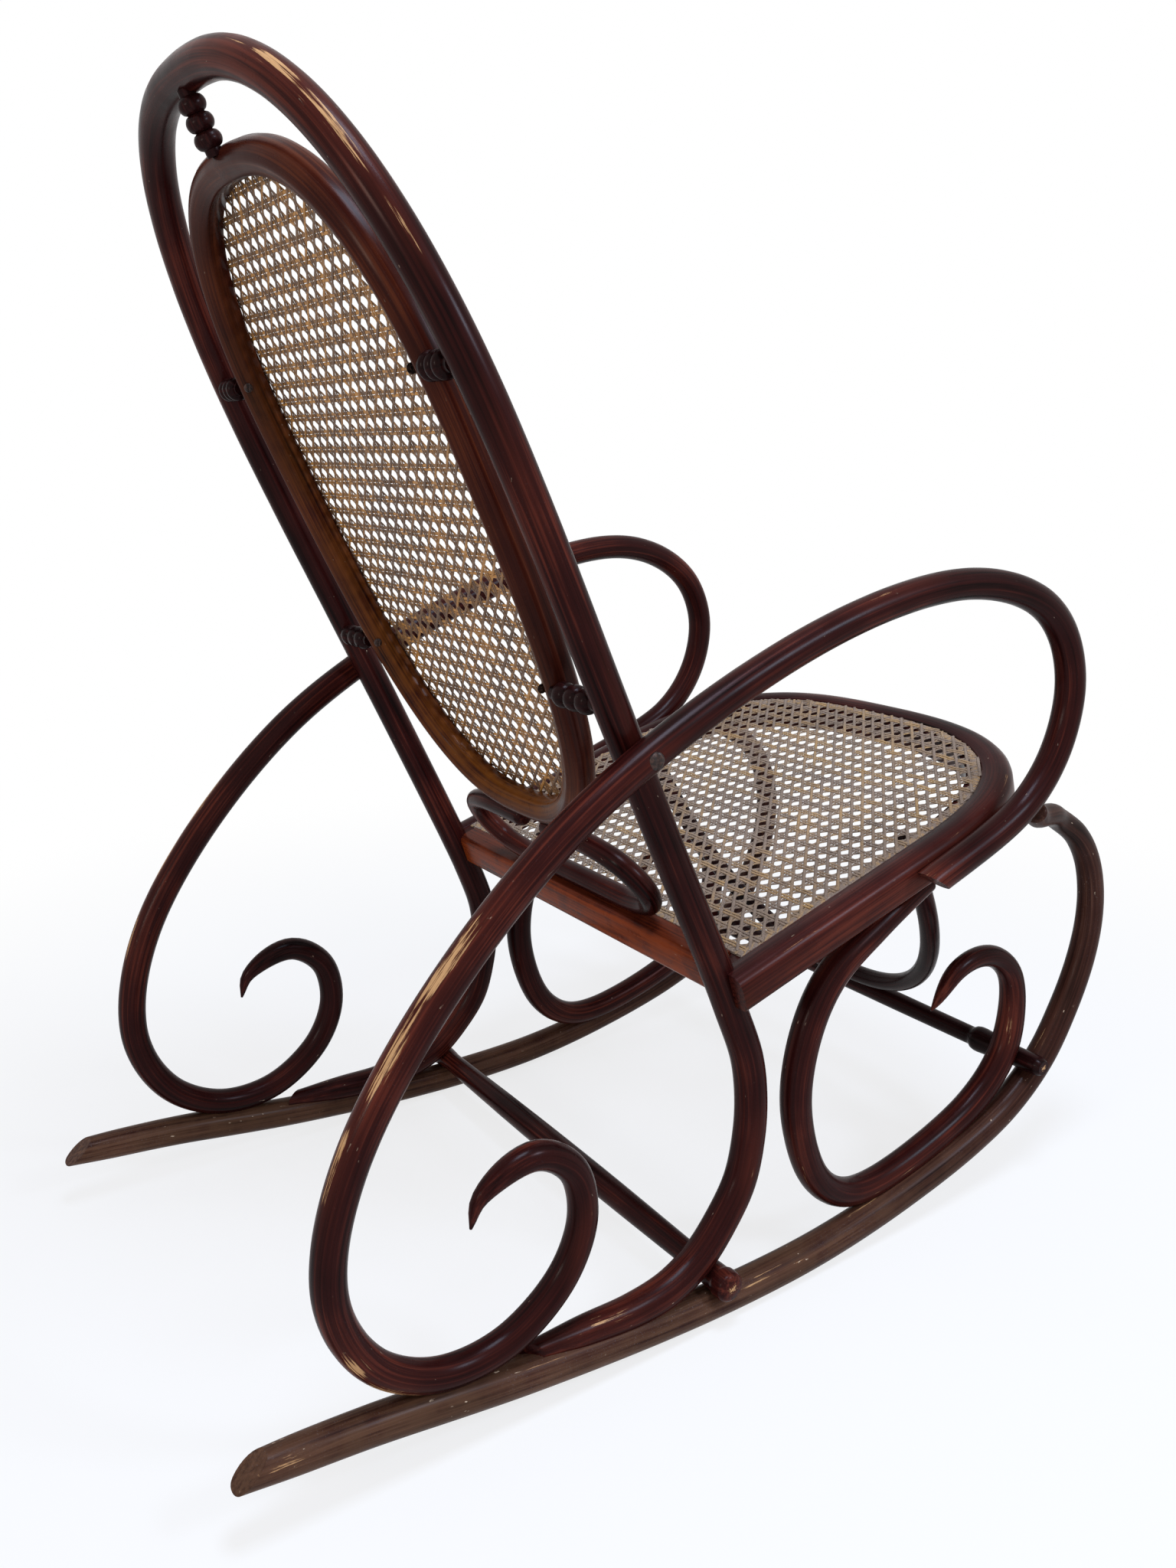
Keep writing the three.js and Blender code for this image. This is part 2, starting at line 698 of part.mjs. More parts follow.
function hexagon(x, y) {
  const points = Array.from({ length: caneGapCorners }, (_, k) => {
    const angle = ((k + 0.5) / caneGapCorners) * 2 * Math.PI;
    const reach = caneGap / 2;
    return new THREE.Vector2(x + reach * Math.cos(angle), y + reach * Math.sin(angle));
  });
  return new THREE.Path(points);
}

// Gaps of a net in staggered rows, where a test says that there is room.
function netGaps(halfWidth, low, high, fits) {
  const rowPitch = (canePitch * Math.sqrt(3)) / 2;
  const middle = (low + high) / 2;
  const rows = Math.floor((high - low) / 2 / rowPitch);
  const columns = Math.ceil(halfWidth / canePitch);
  const gaps = [];
  for (let row = -rows; row <= rows; row++) {
    const y = middle + row * rowPitch;
    const stagger = row % 2 === 0 ? 0 : 0.5;
    for (let column = -columns; column <= columns; column++) {
      const x = (column + stagger) * canePitch;
      if (fits(x, y)) gaps.push(hexagon(x, y));
    }
  }
  return gaps;
}

function netSolid(outline, gaps, top, frame) {
  outline.holes = gaps;
  const net = new THREE.ExtrudeGeometry(outline, { depth: caneThickness, bevelEnabled: false });
  return solidFrom(net.translate(0, 0, top - caneThickness), frame);
}

function seatCane() {
  const inset = seatRailWidth - caneLap + clearance;
  const margin = seatRailWidth + caneGap * caneMarginShare;
  const rear = rearRailWidth - caneLap + clearance;
  const fits = (x, y) => {
    const half = archHalf(
      seatWidth / 2 - margin, seatFrontRound - margin, seatFrontRoundness, seatDepth - margin - y,
    );
    return Math.abs(x) < half && y > rearRailWidth + caneGap * caneMarginShare;
  };
  const gaps = netGaps(seatWidth / 2, 0, seatDepth, fits);
  return netSolid(seatShape(inset, rear), gaps, 0, seatFrame);
}

// The shallow step round the seat's opening in which the cane lies.
function seatRebate() {
  const step = new THREE.ExtrudeGeometry(
    seatShape(seatRailWidth - caneLap, rearRailWidth - caneLap),
    { depth: overrun, bevelEnabled: false },
  );
  return solidFrom(step.translate(0, 0, -caneThickness - clearance), seatFrame);
}

// Oval frame and cane

// A point of the oval at an angle from its top, drawn in by an inset.
function ovalPoint(angle, inset) {
  const [sine, cosine] = [Math.sin(angle), Math.cos(angle)];
  const upper = cosine > 0;
  const roundness = upper ? ovalUpperRoundness : ovalLowerRoundness;
  const reach = (upper ? ovalUpper : ovalLower) - inset;
  const power = 2 / roundness;
  const x = Math.sign(sine) * (ovalWidth / 2 - inset) * Math.abs(sine) ** power;
  const down = ovalTop + ovalUpper - Math.sign(cosine) * reach * Math.abs(cosine) ** power;
  return new THREE.Vector2(x, down);
}

function ovalLine(inset) {
  return Array.from({ length: ovalSteps }, (_, i) => {
    return ovalPoint(((i + 0.5) / ovalSteps) * 2 * Math.PI, inset);
  });
}

// Half the outer width of the oval at a drop below the hoop's crown.
function ovalHalf(down, inset = 0) {
  const fromWidest = down - ovalTop - ovalUpper;
  const half = ovalWidth / 2 - inset;
  const above = fromWidest < 0;
  const whole = above ? ovalUpper : ovalLower;
  const roundness = above ? ovalUpperRoundness : ovalLowerRoundness;
  const rise = whole - inset;
  return archHalf(half, rise, roundness, rise - Math.abs(fromWidest));
}

function ovalFrame(grow = 0) {
  const out = ovalRadial + grow;
  const deep = ovalDepth / 2 + grow;
  const soft = ovalSoftEdge;
  const section = [
    [out - soft / 2, -deep], [out, -deep + soft / 2], [out, deep - ovalRebateDepth],
    [out - ovalRebate, deep - ovalRebateDepth], [out - ovalRebate, deep], [soft, deep],
    [-grow, deep - soft], [-grow, soft - deep], [soft, -deep],
  ];
  const rings = ovalLine(0).map((_, i) => {
    return section.map(([inset, forward]) => {
      const { x, y } = ovalLine(inset)[i];
      return backPoint(x, y, ovalForward + forward);
    });
  });
  return solidFrom(skin(rings, true));
}

function backCane() {
  const inset = ovalRadial - ovalRebate + clearance;
  const margin = ovalRadial + caneGap * caneMarginShare;
  const fits = (x, y) => Math.abs(x) < ovalHalf(y, margin);
  const gaps = netGaps(ovalWidth / 2, ovalTop, ovalBottom, fits);
  const top = ovalForward + ovalDepth / 2 - ovalRebateDepth + clearance + caneThickness;
  return netSolid(new THREE.Shape(ovalLine(inset)), gaps, top, backFrame);
}

// The rods

const hands = [["left", 1], ["right", -1]];

const hoopHalfStations = trace(hoopPath(), leanForward, hoopRadius);
const hoop = { stations: bothHands(hoopHalfStations), sides: rodSides };
const arms = hands.map(([, side]) => {
  return { stations: trace(armPath(side), across, armRadius), sides: rodSides };
});
const scrolls = hands.map(([, side]) => {
  return { stations: trace(scrollPath(side), across, scrollRadius), sides: rodSides };
});

// The direction from a runner's end up to the arm over it, and the place of that end.
function runnerEnd(arm, side) {
  const points = closePoints(arm.stations);
  const i = points.findIndex((p) => -p.y >= runnerShares.at(-1)[0] * chairLength);
  const run = points[i + 1].clone().sub(points[i - 1]).normalize();
  const up = new THREE.Vector3(0, run.z, -run.y);
  const gap = (armDiameter + runnerDiameter * runnerTaperShares.at(-1)[1]) / 2 - bite;
  const end = points[i].clone().addScaledVector(up, -gap);
  return { up, end: end.setX(points[i].x - side * bite) };
}

const runnerEnds = hands.map(([, side], i) => runnerEnd(arms[i], side));
const runners = hands.map(([, side], i) => {
  const path = runnerPath(side);
  pin(path, path.length - 1, runnerEnds[i].end, middleReach);
  return { stations: trace(path, across, runnerRadius), sides: rodSides };
});

// The stretchers lie between the runners and the rods that rise from them.
const rearRise = hoopHalfStations.filter((s) => s.point.z < seatRearHeight);
const frontRise = scrolls[0].stations.filter((s) => -s.point.y > scrollRestShare * chairLength);
const rearSeat = crotch(rearRise, hoopDiameter / 2, rearStretcherDiameter / 2);
const frontSeat = crotch(frontRise, scrollDiameter / 2, frontStretcherDiameter / 2);
const rearAxis = rearSeat.centre.clone().setX(0);
const frontAxis = frontSeat.centre.clone().setX(0);

const rearBow = {
  stations: bothHands(trace(rearBowPath(), leanForward, () => rearBowDiameter / 2)),
  sides: slimSides,
};
const bowReach = (frontStretcherDiameter + frontBowDiameter) / 2 - bite / 2;
const bowTop = seatPoint(0, frontBowTopShare * seatDepth, frontBowTenon - seatThickness);
const towardSeat = bowTop.clone().sub(frontAxis).normalize();
const bowFoot = frontAxis.clone().addScaledVector(towardSeat, bowReach);
const frontBow = {
  stations: bothHands(trace(frontBowPath(bowFoot, bowTop), seatForward, () => frontBowDiameter / 2)),
  sides: slimSides,
};

// Solids that cut the seats of rods, each grown by the clearance

const hoopTool = rodSolid(hoop, clearance);
const runnerTools = runners.map((rod) => rodSolid(rod, clearance));
const armTools = arms.map((rod) => rodSolid(rod, clearance));
const scrollTools = scrolls.map((rod) => rodSolid(rod, clearance));
const frontBowTool = rodSolid(frontBow, clearance);
const ovalTool = ovalFrame(clearance);
const frontTool = stretcher(frontAxis, frontStretcherDiameter + 2 * clearance, frontStretcherShares);

// The seat without its opening, which cuts what rests against the seat.
function seatTool() {
  const size = { depth: seatThickness + 2 * clearance, bevelEnabled: false };
  const block = new THREE.ExtrudeGeometry(seatShape(-clearance, -clearance), size);
  return solidFrom(block.translate(0, 0, -seatThickness - clearance), seatFrame);
}

const seatBlock = seatTool();
const armCut = new THREE.Vector3()
  .addScaledVector(seatForward, -Math.sin(armEndBevel))
  .addScaledVector(seatUp, -Math.cos(armEndBevel));

// A slope on the upper side of a rod's tip, from a length behind the tip down to its lower side.
function tipSlope(station, before, length, radius) {
  const back = station.tangent.clone().multiplyScalar(before);
  const side = station.normal;
  let up = back.clone().cross(side);
  if (up.z < 0) up = up.negate();
  const tip = station.point.clone().addScaledVector(up, -radius / 2);
  const heel = station.point.clone().addScaledVector(back, length).addScaledVector(up, radius);
  const slope = heel.clone().sub(tip);
  const out = slope.cross(side).normalize();
  if (out.z < 0) out.negate();
  return beyond(tip.add(heel).multiplyScalar(0.5), out);
}

// Every piece by its name

const finishes = {
  wood: { color: 0x4a1f18, roughness: 0.35, metalness: 0 },
  darkWood: { color: 0x2b1512, roughness: 0.4, metalness: 0 },
  cane: { color: 0xa9834f, roughness: 0.7, metalness: 0 },
  steel: { color: 0x3c3835, roughness: 0.45, metalness: 0.8 },
};
const densities = { wood: beech, darkWood: beech, cane, steel };
const pieces = new Map();

function keep(name, part, finish, solid) {
  pieces.set(name, { part, finish, solid });
}

hands.forEach(([hand, side], i) => {
  const runner = rodSolid(runners[i]);
  const rearTip = tipSlope(runners[i].stations[0], 1, runnerTipBevel, runnerDiameter / 2);
  keep(`runner_${hand}`, "base", "wood", trimmed(runner, rearTip));
  const armEnd = seatPoint(side * seatHalf(0), armSeatShare * seatDepth, -armDropShare * seatThickness);
  const bevel = beyond(armEnd, armCut);
  keep(`arm_${hand}`, "arms", "wood", trimmed(rodSolid(arms[i]), ...runnerTools, seatBlock, bevel));
  keep(`front_scroll_${hand}`, "base", "wood", trimmed(rodSolid(scrolls[i]), ...runnerTools, seatBlock));
});

const tailTips = [hoop.stations[0], hoop.stations.at(-1)].map((s, i) => {
  return tipSlope(s, i === 0 ? 1 : -1, legTipBevel, hoopDiameter / 2);
});
keep("back_hoop", "back", "wood", trimmed(rodSolid(hoop), ...runnerTools, ...armTools, ...tailTips));
keep("back_frame", "back", "wood", ovalFrame());
keep("back_cane", "back", "cane", backCane());
const spindle = beads(
  backPoint(0, 0, -spacerBack), leanDown, hoopDiameter / 2, ovalTop - hoopDiameter / 2, ovalRadial / 2,
);
keep("top_spindle", "back", "darkWood", trimmed(spindle, hoopTool, ovalTool));

const rebate = seatRebate();
keep("seat_rail", "seat", "wood", trimmed(seatRail(), hoopTool, frontBowTool, rebate));
keep("seat_rear_rail", "seat", "wood", trimmed(rearRail(), hoopTool, rebate));
keep("seat_cane", "seat", "cane", seatCane());
keep("rear_bow", "seat", "wood", trimmed(rodSolid(rearBow), seatBlock, ovalTool));
keep("front_bow", "base", "darkWood", trimmed(rodSolid(frontBow), frontTool, ...scrollTools));

const rearBar = stretcher(rearAxis, rearStretcherDiameter, rearStretcherShares);
const frontBar = stretcher(frontAxis, frontStretcherDiameter, frontStretcherShares);
keep("rear_stretcher", "base", "wood", trimmed(rearBar, ...runnerTools, hoopTool));
keep("front_stretcher", "base", "darkWood", trimmed(frontBar, ...runnerTools, ...scrollTools));

// Adds a fastener and bores the pieces that it passes through.
function fasten(name, part, finish, made, ...hosts) {
  keep(name, part, finish, made.solid);
  for (const host of hosts) {
    const piece = pieces.get(host);
    piece.solid = trimmed(piece.solid, made.bore);
  }
}

// The place on an arm's centreline where it crosses the leg, seen from the side.
function legCrossing(arm) {
  const leg = closePoints(hoopHalfStations);
  let best = null;
  for (const p of closePoints(arm.stations)) {
    for (const q of leg) {
      const miss = Math.hypot(p.y - q.y, p.z - q.z);
      if (!best || miss < best.miss) best = { miss, point: p };
    }
  }
  return best.point;
}

hands.forEach(([hand, side], i) => {
  const outward = across.clone().multiplyScalar(side);
  const inward = outward.clone().negate();

  const onArm = legCrossing(arms[i]).addScaledVector(outward, armDiameter / 2);
  const boltLength = armDiameter + hoopDiameter / 2 + armBolt.shank;
  const bolt = screw(armBolt, onArm, inward, boltLength);
  fasten(`arm_bolt_${hand}`, "arms", "steel", bolt, `arm_${hand}`, "back_hoop");

  const inLeg = seatPoint((side * legSpacing) / 2, legNotch - dowelInLeg, -seatThickness / 2);
  fasten(`seat_dowel_${hand}`, "seat", "wood", dowel(inLeg, seatForward), "back_hoop", "seat_rail");

  const armEnd = armSeatShare * seatDepth + armScrewBack;
  const deep = armDropShare * seatThickness;
  const inRail = seatPoint(side * (seatHalf(armEnd) - seatRailWidth), armEnd, -deep);
  const armScrew = screw(woodScrew, inRail, outward, seatRailWidth + screwHold);
  fasten(`arm_screw_${hand}`, "arms", "steel", armScrew, "seat_rail", `arm_${hand}`);

  const scrollTop = closePoints(scrolls[i].stations)[Math.round(fineSteps * scrollScrewShare)];
  const scrollLow = scrollTop.clone().addScaledVector(seatUp, -scrollTopDiameter / 2);
  const below = scrollLow.clone().applyMatrix4(seatFrame.clone().invert()).z;
  const scrollScrew = screw(woodScrew, scrollLow, seatUp, screwHold - seatThickness - below);
  fasten(`scroll_screw_${hand}`, "base", "steel", scrollScrew, `front_scroll_${hand}`, "seat_rail");

  for (const [at, seat, diameter] of [
    ["rear", rearSeat, rearStretcherDiameter],
    ["front", frontSeat, frontStretcherDiameter],
  ]) {
    const reach = runnerDiameter + diameter / 2 - bite;
    const under = seat.centre.clone().setX(side * seat.centre.x).addScaledVector(seat.rise, -reach);
    const made = screw(woodScrew, under, seat.rise, runnerDiameter + diameter / 2, soleSink);
    fasten(`${at}_stretcher_screw_${hand}`, "base", "steel", made, `runner_${hand}`, `${at}_stretcher`);
  }

  for (const [what, host, forward] of [
    ["arm", `arm_${hand}`, armRestShare * chairLength],
    ["leg", "back_hoop", legRestShare * chairLength],
    ["scroll", `front_scroll_${hand}`, scrollRestShare * chairLength],
  ]) {
    const x = (side * runnerSpacing) / 2;
    const under = overRunner(x, forward, -runnerDiameter / 2);
    const rise = overRunner(x, forward, runnerDiameter / 2).sub(under).normalize();
    const made = screw(woodScrew, under, rise, runnerDiameter + screwHold, soleSink);
    fasten(`${what}_rest_screw_${hand}`, "base", "steel", made, `runner_${hand}`, host);
  }

  const { up } = runnerEnds[i];
  const tip = closePoints(runners[i].stations)[Math.round(fineSteps * runnerNailShare)];
  const tipRadius = runnerRadius(runnerNailShare);
  const nail = screw(smallScrew, tip.addScaledVector(up, -tipRadius), up, 2 * tipRadius + screwHold);
  fasten(`runner_end_screw_${hand}`, "arms", "steel", nail, `runner_${hand}`, `arm_${hand}`);

  spacerShares.forEach((share, level) => {
    const down = share * leanLength;
    const name = ["upper", "lower"][level];
    const plain = ovalRadial * beadTenonShare;
    const start = ovalHalf(down) - plain;
    const gap = hoopHalf(down) - hoopDiameter / 2 - ovalHalf(down);
    const from = backPoint(side * start, down, -spacerBack);
    const row = trimmed(beads(from, outward, plain, gap, plain), hoopTool, ovalTool);
    keep(`${name}_spacer_${hand}`, "back", "darkWood", row);
    const head = backPoint(side * ovalHalf(down, ovalRadial), down, -spacerBack);
    const length = hoopHalf(down) - hoopDiameter / 2 - ovalHalf(down, ovalRadial) + screwHold;
    const made = screw(woodScrew, head, outward, length);
    const hosts = ["back_frame", `${name}_spacer_${hand}`, "back_hoop"];
    fasten(`${name}_spacer_screw_${hand}`, "back", "steel", made, ...hosts);
  });

  const bowRadius = rearBowDiameter / 2;
  const railScrew = seatPoint(side * rearBowScrewShare * rearBowWidth, rearRailWidth / 2, -seatThickness);
  const low = screw(woodScrew, railScrew, seatUp, seatThickness + bowRadius);
  fasten(`rear_bow_screw_${hand}`, "seat", "steel", low, "seat_rear_rail", "rear_bow");
  const tipDown = ovalBottom + rearBowDiameter - bite;
  const underTip = backPoint(side * rearBowTipShare * rearBowWidth, tipDown, ovalForward);
  const high = screw(smallScrew, underTip, leanDown.clone().negate(), rearBowDiameter + screwHold);
  fasten(`rear_bow_tip_screw_${hand}`, "back", "steel", high, "rear_bow", "back_frame");
});

const overFoot = bowFoot.clone().addScaledVector(towardSeat, frontBowDiameter / 2);
const footLength = frontBowDiameter + frontStretcherDiameter / 2;
const footScrew = screw(smallScrew, overFoot, towardSeat.clone().negate(), footLength);
fasten("front_bow_screw", "base", "steel", footScrew, "front_bow", "front_stretcher");

// The chair stands where its weight lies over the rockers: the flat of their underside that is
// nearest to the centre of mass is turned level.

function geometryOf(solid) {
  const mesh = solid.getMesh();
  const geometry = new THREE.BufferGeometry();
  geometry.setAttribute("position", new THREE.BufferAttribute(mesh.vertProperties, 3));
  return geometry.setIndex(new THREE.BufferAttribute(mesh.triVerts, 1));
}

function centreOfMass() {
  const sum = new THREE.Vector3();
  let mass = 0;
  for (const { finish, solid } of pieces.values()) {
    const { position } = geometryOf(solid).attributes;
    const corners = solid.getMesh().triVerts;
    const at = (i) => new THREE.Vector3().fromBufferAttribute(position, corners[i]);
    for (let i = 0; i < corners.length; i += 3) {
      const [a, b, c] = [at(i), at(i + 1), at(i + 2)];
      const share = (a.dot(b.clone().cross(c)) / 6) * densities[finish];
      sum.addScaledVector(a.add(b).add(c), share / 4);
      mass += share;
    }
  }
  return sum.divideScalar(mass);
}

// The flats under a rocker, from the rear forward, as pairs of their end points.
function soleFlats(geometry) {
  const { position } = geometry.attributes;
  const points = [];
  for (let i = 0; i < position.count; i++) {
    points.push(new THREE.Vector2(-position.getY(i), position.getZ(i)));
  }
  points.sort((a, b) => a.x - b.x || a.y - b.y);
  const hull = [];
  for (const p of points) {
    while (hull.length > 1 && p.clone().sub(hull.at(-2)).cross(hull.at(-1).clone().sub(hull.at(-2))) >= 0) {
      hull.pop();
    }
    hull.push(p);
  }
  return hull.slice(1).map((p, i) => [hull[i], p]);
}

function standingTurn() {
  const centre = centreOfMass();
  const heart = new THREE.Vector2(-centre.y, centre.z);
  let best = null;
  for (const [from, to] of soleFlats(geometryOf(pieces.get("runner_left").solid))) {
    const run = to.clone().sub(from).normalize();
    const height = run.cross(heart.clone().sub(from));
    const foot = run.dot(heart.clone().sub(from)) / to.distanceTo(from);
    if (!best || height < best.height) best = { height, foot, length: to.distanceTo(from), run };
  }
  return best;
}

const standing = standingTurn();

// The scene graph

const chair = new THREE.Group();
chair.name = "bentwood_rocking_chair";
const turnedChair = new THREE.Group();
turnedChair.rotation.x = Math.atan2(standing.run.y, standing.run.x);
chair.add(turnedChair);

const groups = new Map(["base", "arms", "seat", "back"].map((name) => [name, new THREE.Group()]));
for (const group of groups.values()) turnedChair.add(group);
for (const [name, { part, finish, solid }] of pieces) {
  const material = new THREE.MeshStandardMaterial(finishes[finish]);
  const mesh = new THREE.Mesh(geometryOf(solid), material);
  mesh.name = name;
  groups.get(part).add(mesh);
}

chair.updateMatrixWorld(true);
const box = new THREE.Box3().setFromObject(chair, true);
turnedChair.position.set(0, -(box.min.y + box.max.y) / 2, -box.min.z);

export default chair;
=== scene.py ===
"""A bentwood rocking chair dressed for rendering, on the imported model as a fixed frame."""

from __future__ import annotations

import logging
import math
from dataclasses import dataclass, field, replace
from enum import Enum
from typing import Callable, Sequence

import bmesh
import bpy
import numpy as np
from mathutils import Matrix, Vector


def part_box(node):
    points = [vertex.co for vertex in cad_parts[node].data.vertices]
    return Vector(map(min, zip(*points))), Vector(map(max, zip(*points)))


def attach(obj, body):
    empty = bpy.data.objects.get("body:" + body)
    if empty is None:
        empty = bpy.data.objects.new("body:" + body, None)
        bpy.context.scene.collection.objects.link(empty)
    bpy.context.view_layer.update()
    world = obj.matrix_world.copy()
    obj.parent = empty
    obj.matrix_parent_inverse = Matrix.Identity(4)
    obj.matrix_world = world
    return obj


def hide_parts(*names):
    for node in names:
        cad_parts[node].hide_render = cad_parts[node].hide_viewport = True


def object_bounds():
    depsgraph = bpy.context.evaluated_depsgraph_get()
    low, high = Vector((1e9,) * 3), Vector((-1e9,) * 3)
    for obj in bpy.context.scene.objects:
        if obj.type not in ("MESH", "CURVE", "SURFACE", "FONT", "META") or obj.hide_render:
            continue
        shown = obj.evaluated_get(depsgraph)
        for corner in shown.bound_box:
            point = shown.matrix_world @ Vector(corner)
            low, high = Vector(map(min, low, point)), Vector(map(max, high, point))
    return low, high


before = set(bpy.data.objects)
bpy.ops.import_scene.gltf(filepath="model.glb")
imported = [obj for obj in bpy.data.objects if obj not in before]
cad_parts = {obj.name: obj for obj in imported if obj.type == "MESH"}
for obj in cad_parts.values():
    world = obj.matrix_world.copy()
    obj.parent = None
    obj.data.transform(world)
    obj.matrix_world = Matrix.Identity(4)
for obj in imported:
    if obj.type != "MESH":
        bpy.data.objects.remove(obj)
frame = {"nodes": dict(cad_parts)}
CAD_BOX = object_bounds()

log = logging.getLogger("rocking_chair")

Array = np.ndarray
Rows = Sequence[Sequence[float]]
Place = tuple[float, float, float]
Colour = tuple[float, float, float, float]
Material = bpy.types.Material
Socket = bpy.types.NodeSocket
Outputs = bpy.types.bpy_prop_collection
Tree = bpy.types.NodeTree
Mesh = bpy.types.Mesh
Inputs = dict[str | int, object]

ACROSS = np.array([1.0, 0.0, 0.0])
MIRROR = np.array([-1.0, 1.0, 1.0])


class Slot(Enum):
    """The record's material slots."""

    WOOD = "wood"
    DARK_WOOD = "dark_wood"
    CANE = "cane"
    STEEL = "steel"


class Hand(Enum):
    """The two sides of the chair, with the sign of X."""

    LEFT = 1
    RIGHT = -1

    @property
    def word(self) -> str:
        """The word that ends this side's node names."""
        return self.name.lower()


class Lay(Enum):
    """The two layers of a woven panel."""

    SQUARE = "square"
    CROSS = "cross"


# The chair's own measures


@dataclass(frozen=True)
class Stance:
    """How the chair stands on its rockers: turned about X, then moved.

    Pieces are drawn with X across, -Y forward of the rear tips and Z up from the rockers' ground
    line, in metres, and get their place from here.

    Attributes:
        turn: Angle in radians.
        back: Move along Y.
        lift: Move up.
    """

    turn: float = 0.0423469
    back: float = 0.484959
    lift: float = 0.0193841

    def matrix(self) -> Matrix:
        """The matrix from the drawn place to the standing one."""
        return Matrix.Translation((0.0, self.back, self.lift)) @ Matrix.Rotation(self.turn, 4, "X")

    def unplace(self, point: Sequence[float]) -> Array:
        """A point of the row frame, taken back to where it is drawn."""
        return np.array(self.matrix().inverted() @ Vector(point))


@dataclass(frozen=True)
class Measures:
    """Main sizes of the chair in metres, shared by its sub-assemblies.

    Attributes:
        length: Length over the rockers.
        seat_width: Width of the seat.
        runner_spacing: Distance between the runners' centrelines.
        runner_diameter: Thickness of a runner.
        runner_rise: Height of the runners' front curl.
        leg_spacing: Distance between the rear legs' centrelines at the seat.
        hoop_diameter: Thickness of the hoop and legs.
        hoop_height: Height of the hoop's crown.
        hoop_width: Width of the hoop's centreline.
        hoop_arch_share: Crown to the widest place, of the way to the seat.
        hoop_roundness: Power of the hoop's outline.
        crown_share: How far the crown stands in front of the rear tips, of the length.
        run_share: How far the legs at the seat stand in front of the crown, of the length.
        arm_diameter: Thickness of an arm.
        arm_height: Height of the arms' centrelines.
        seat_depth: Depth of the seat.
        seat_thickness: Thickness of its rails.
        seat_rear_height: Height of its rear top edge.
        seat_tilt: How far it rises to the front, in radians.
        seat_round: Length of its rounded front.
        seat_roundness: Power of that front's outline.
        leg_notch: How deep the legs sit in the rear rail.
        bite: How far a rod sinks into the one that it rests on.
    """

    length: float = 0.95
    seat_width: float = 0.522
    runner_spacing: float = 0.5
    runner_diameter: float = 0.031
    runner_rise: float = 0.402
    leg_spacing: float = 0.462
    hoop_diameter: float = 0.028
    hoop_height: float = 0.991
    hoop_width: float = 0.472
    hoop_arch_share: float = 0.4526
    hoop_roundness: float = 2.5
    crown_share: float = 0.114
    run_share: float = 0.3506
    arm_diameter: float = 0.027
    arm_height: float = 0.635
    seat_depth: float = 0.467
    seat_thickness: float = 0.034
    seat_rear_height: float = 0.32
    seat_tilt: float = math.radians(19)
    seat_round: float = 0.467 * 0.4925
    seat_roundness: float = 2.8
    leg_notch: float = 0.013
    bite: float = 0.002

    @property
    def lean(self) -> float:
        """Angle of the back to the upright."""
        return math.atan2(self.run_share * self.length, self.hoop_height - self.seat_rear_height)

    @property
    def lean_length(self) -> float:
        """Length along the back from its crown to the seat."""
        return (self.hoop_height - self.seat_rear_height) / math.cos(self.lean)

    @property
    def lean_down(self) -> Array:
        """Direction down along the back."""
        return np.array([0.0, -math.sin(self.lean), -math.cos(self.lean)])

    @property
    def lean_forward(self) -> Array:
        """Direction forward, square to the back."""
        return np.array([0.0, -math.cos(self.lean), math.sin(self.lean)])

    @property
    def seat_forward(self) -> Array:
        """Direction forward along the seat."""
        return np.array([0.0, -math.cos(self.seat_tilt), math.sin(self.seat_tilt)])

    @property
    def seat_up(self) -> Array:
        """Direction up, square to the seat."""
        return np.array([0.0, math.sin(self.seat_tilt), math.cos(self.seat_tilt)])

    @property
    def crown(self) -> Array:
        """The hoop's crown on its centreline."""
        return np.array([0.0, -self.crown_share * self.length, self.hoop_height])

    @property
    def leg_at_seat(self) -> Array:
        """Where the legs' centrelines meet the seat's rear top edge, in the middle plane."""
        return self.crown + self.lean_down * self.lean_length

    def back_point(self, x: Array | float, down: Array | float, forward: Array | float = 0.0) -> Array:
        """Points laid out in the plane of the back.

        Args:
            x: Distance across.
            down: Distance below the crown, along the lean.
            forward: Distance in front of the hoop's middle plane.

        Returns:
            The drawn points, with a last axis of three.
        """
        x, down, forward = np.broadcast_arrays(x, down, forward)
        point = self.crown + down[..., None] * self.lean_down + forward[..., None] * self.lean_forward
        return point + x[..., None] * ACROSS

    def seat_point(self, x: Array | float, forward: Array | float, up: Array | float) -> Array:
        """Points laid out in the plane of the seat's top.

        Args:
            x: Distance across.
            forward: Distance in front of the seat's rear face.
            up: Distance above the seat's top.

        Returns:
            The drawn points, with a last axis of three.
        """
        x, forward, up = np.broadcast_arrays(x, forward, up)
        origin = self.leg_at_seat + self.seat_forward * (self.hoop_diameter / 2 - self.leg_notch)
        point = origin + forward[..., None] * self.seat_forward + up[..., None] * self.seat_up
        return point + x[..., None] * ACROSS

    def seat_half(self, forward: float) -> float:
        """Half the seat's width at a distance from its rear face."""
        return arch_half(self.seat_width / 2, self.seat_round, self.seat_roundness, self.seat_depth - forward)


STANCE = Stance()
SIZES = Measures()


def arch_half(half: float, rise: float, roundness: float, drop: float) -> float:
    """Half the width of an arch at a drop below its crown."""
    left = min(1.0, max(0.0, (rise - drop) / rise))
    return half * (1 - left**roundness) ** (1 / roundness)


def plane_matrix(origin: Array, across: Array, along: Array, up: Array) -> Matrix:
    """The matrix from a plane's own coordinates to where it is drawn.

    Args:
        origin: The plane's origin.
        across: Its first axis.
        along: Its second axis.
        up: The direction square to it.

    Returns:
        The matrix.
    """
    matrix = Matrix.Identity(4)
    for k, column in enumerate((across, along, up, origin)):
        matrix.col[k][:3] = column
    return matrix


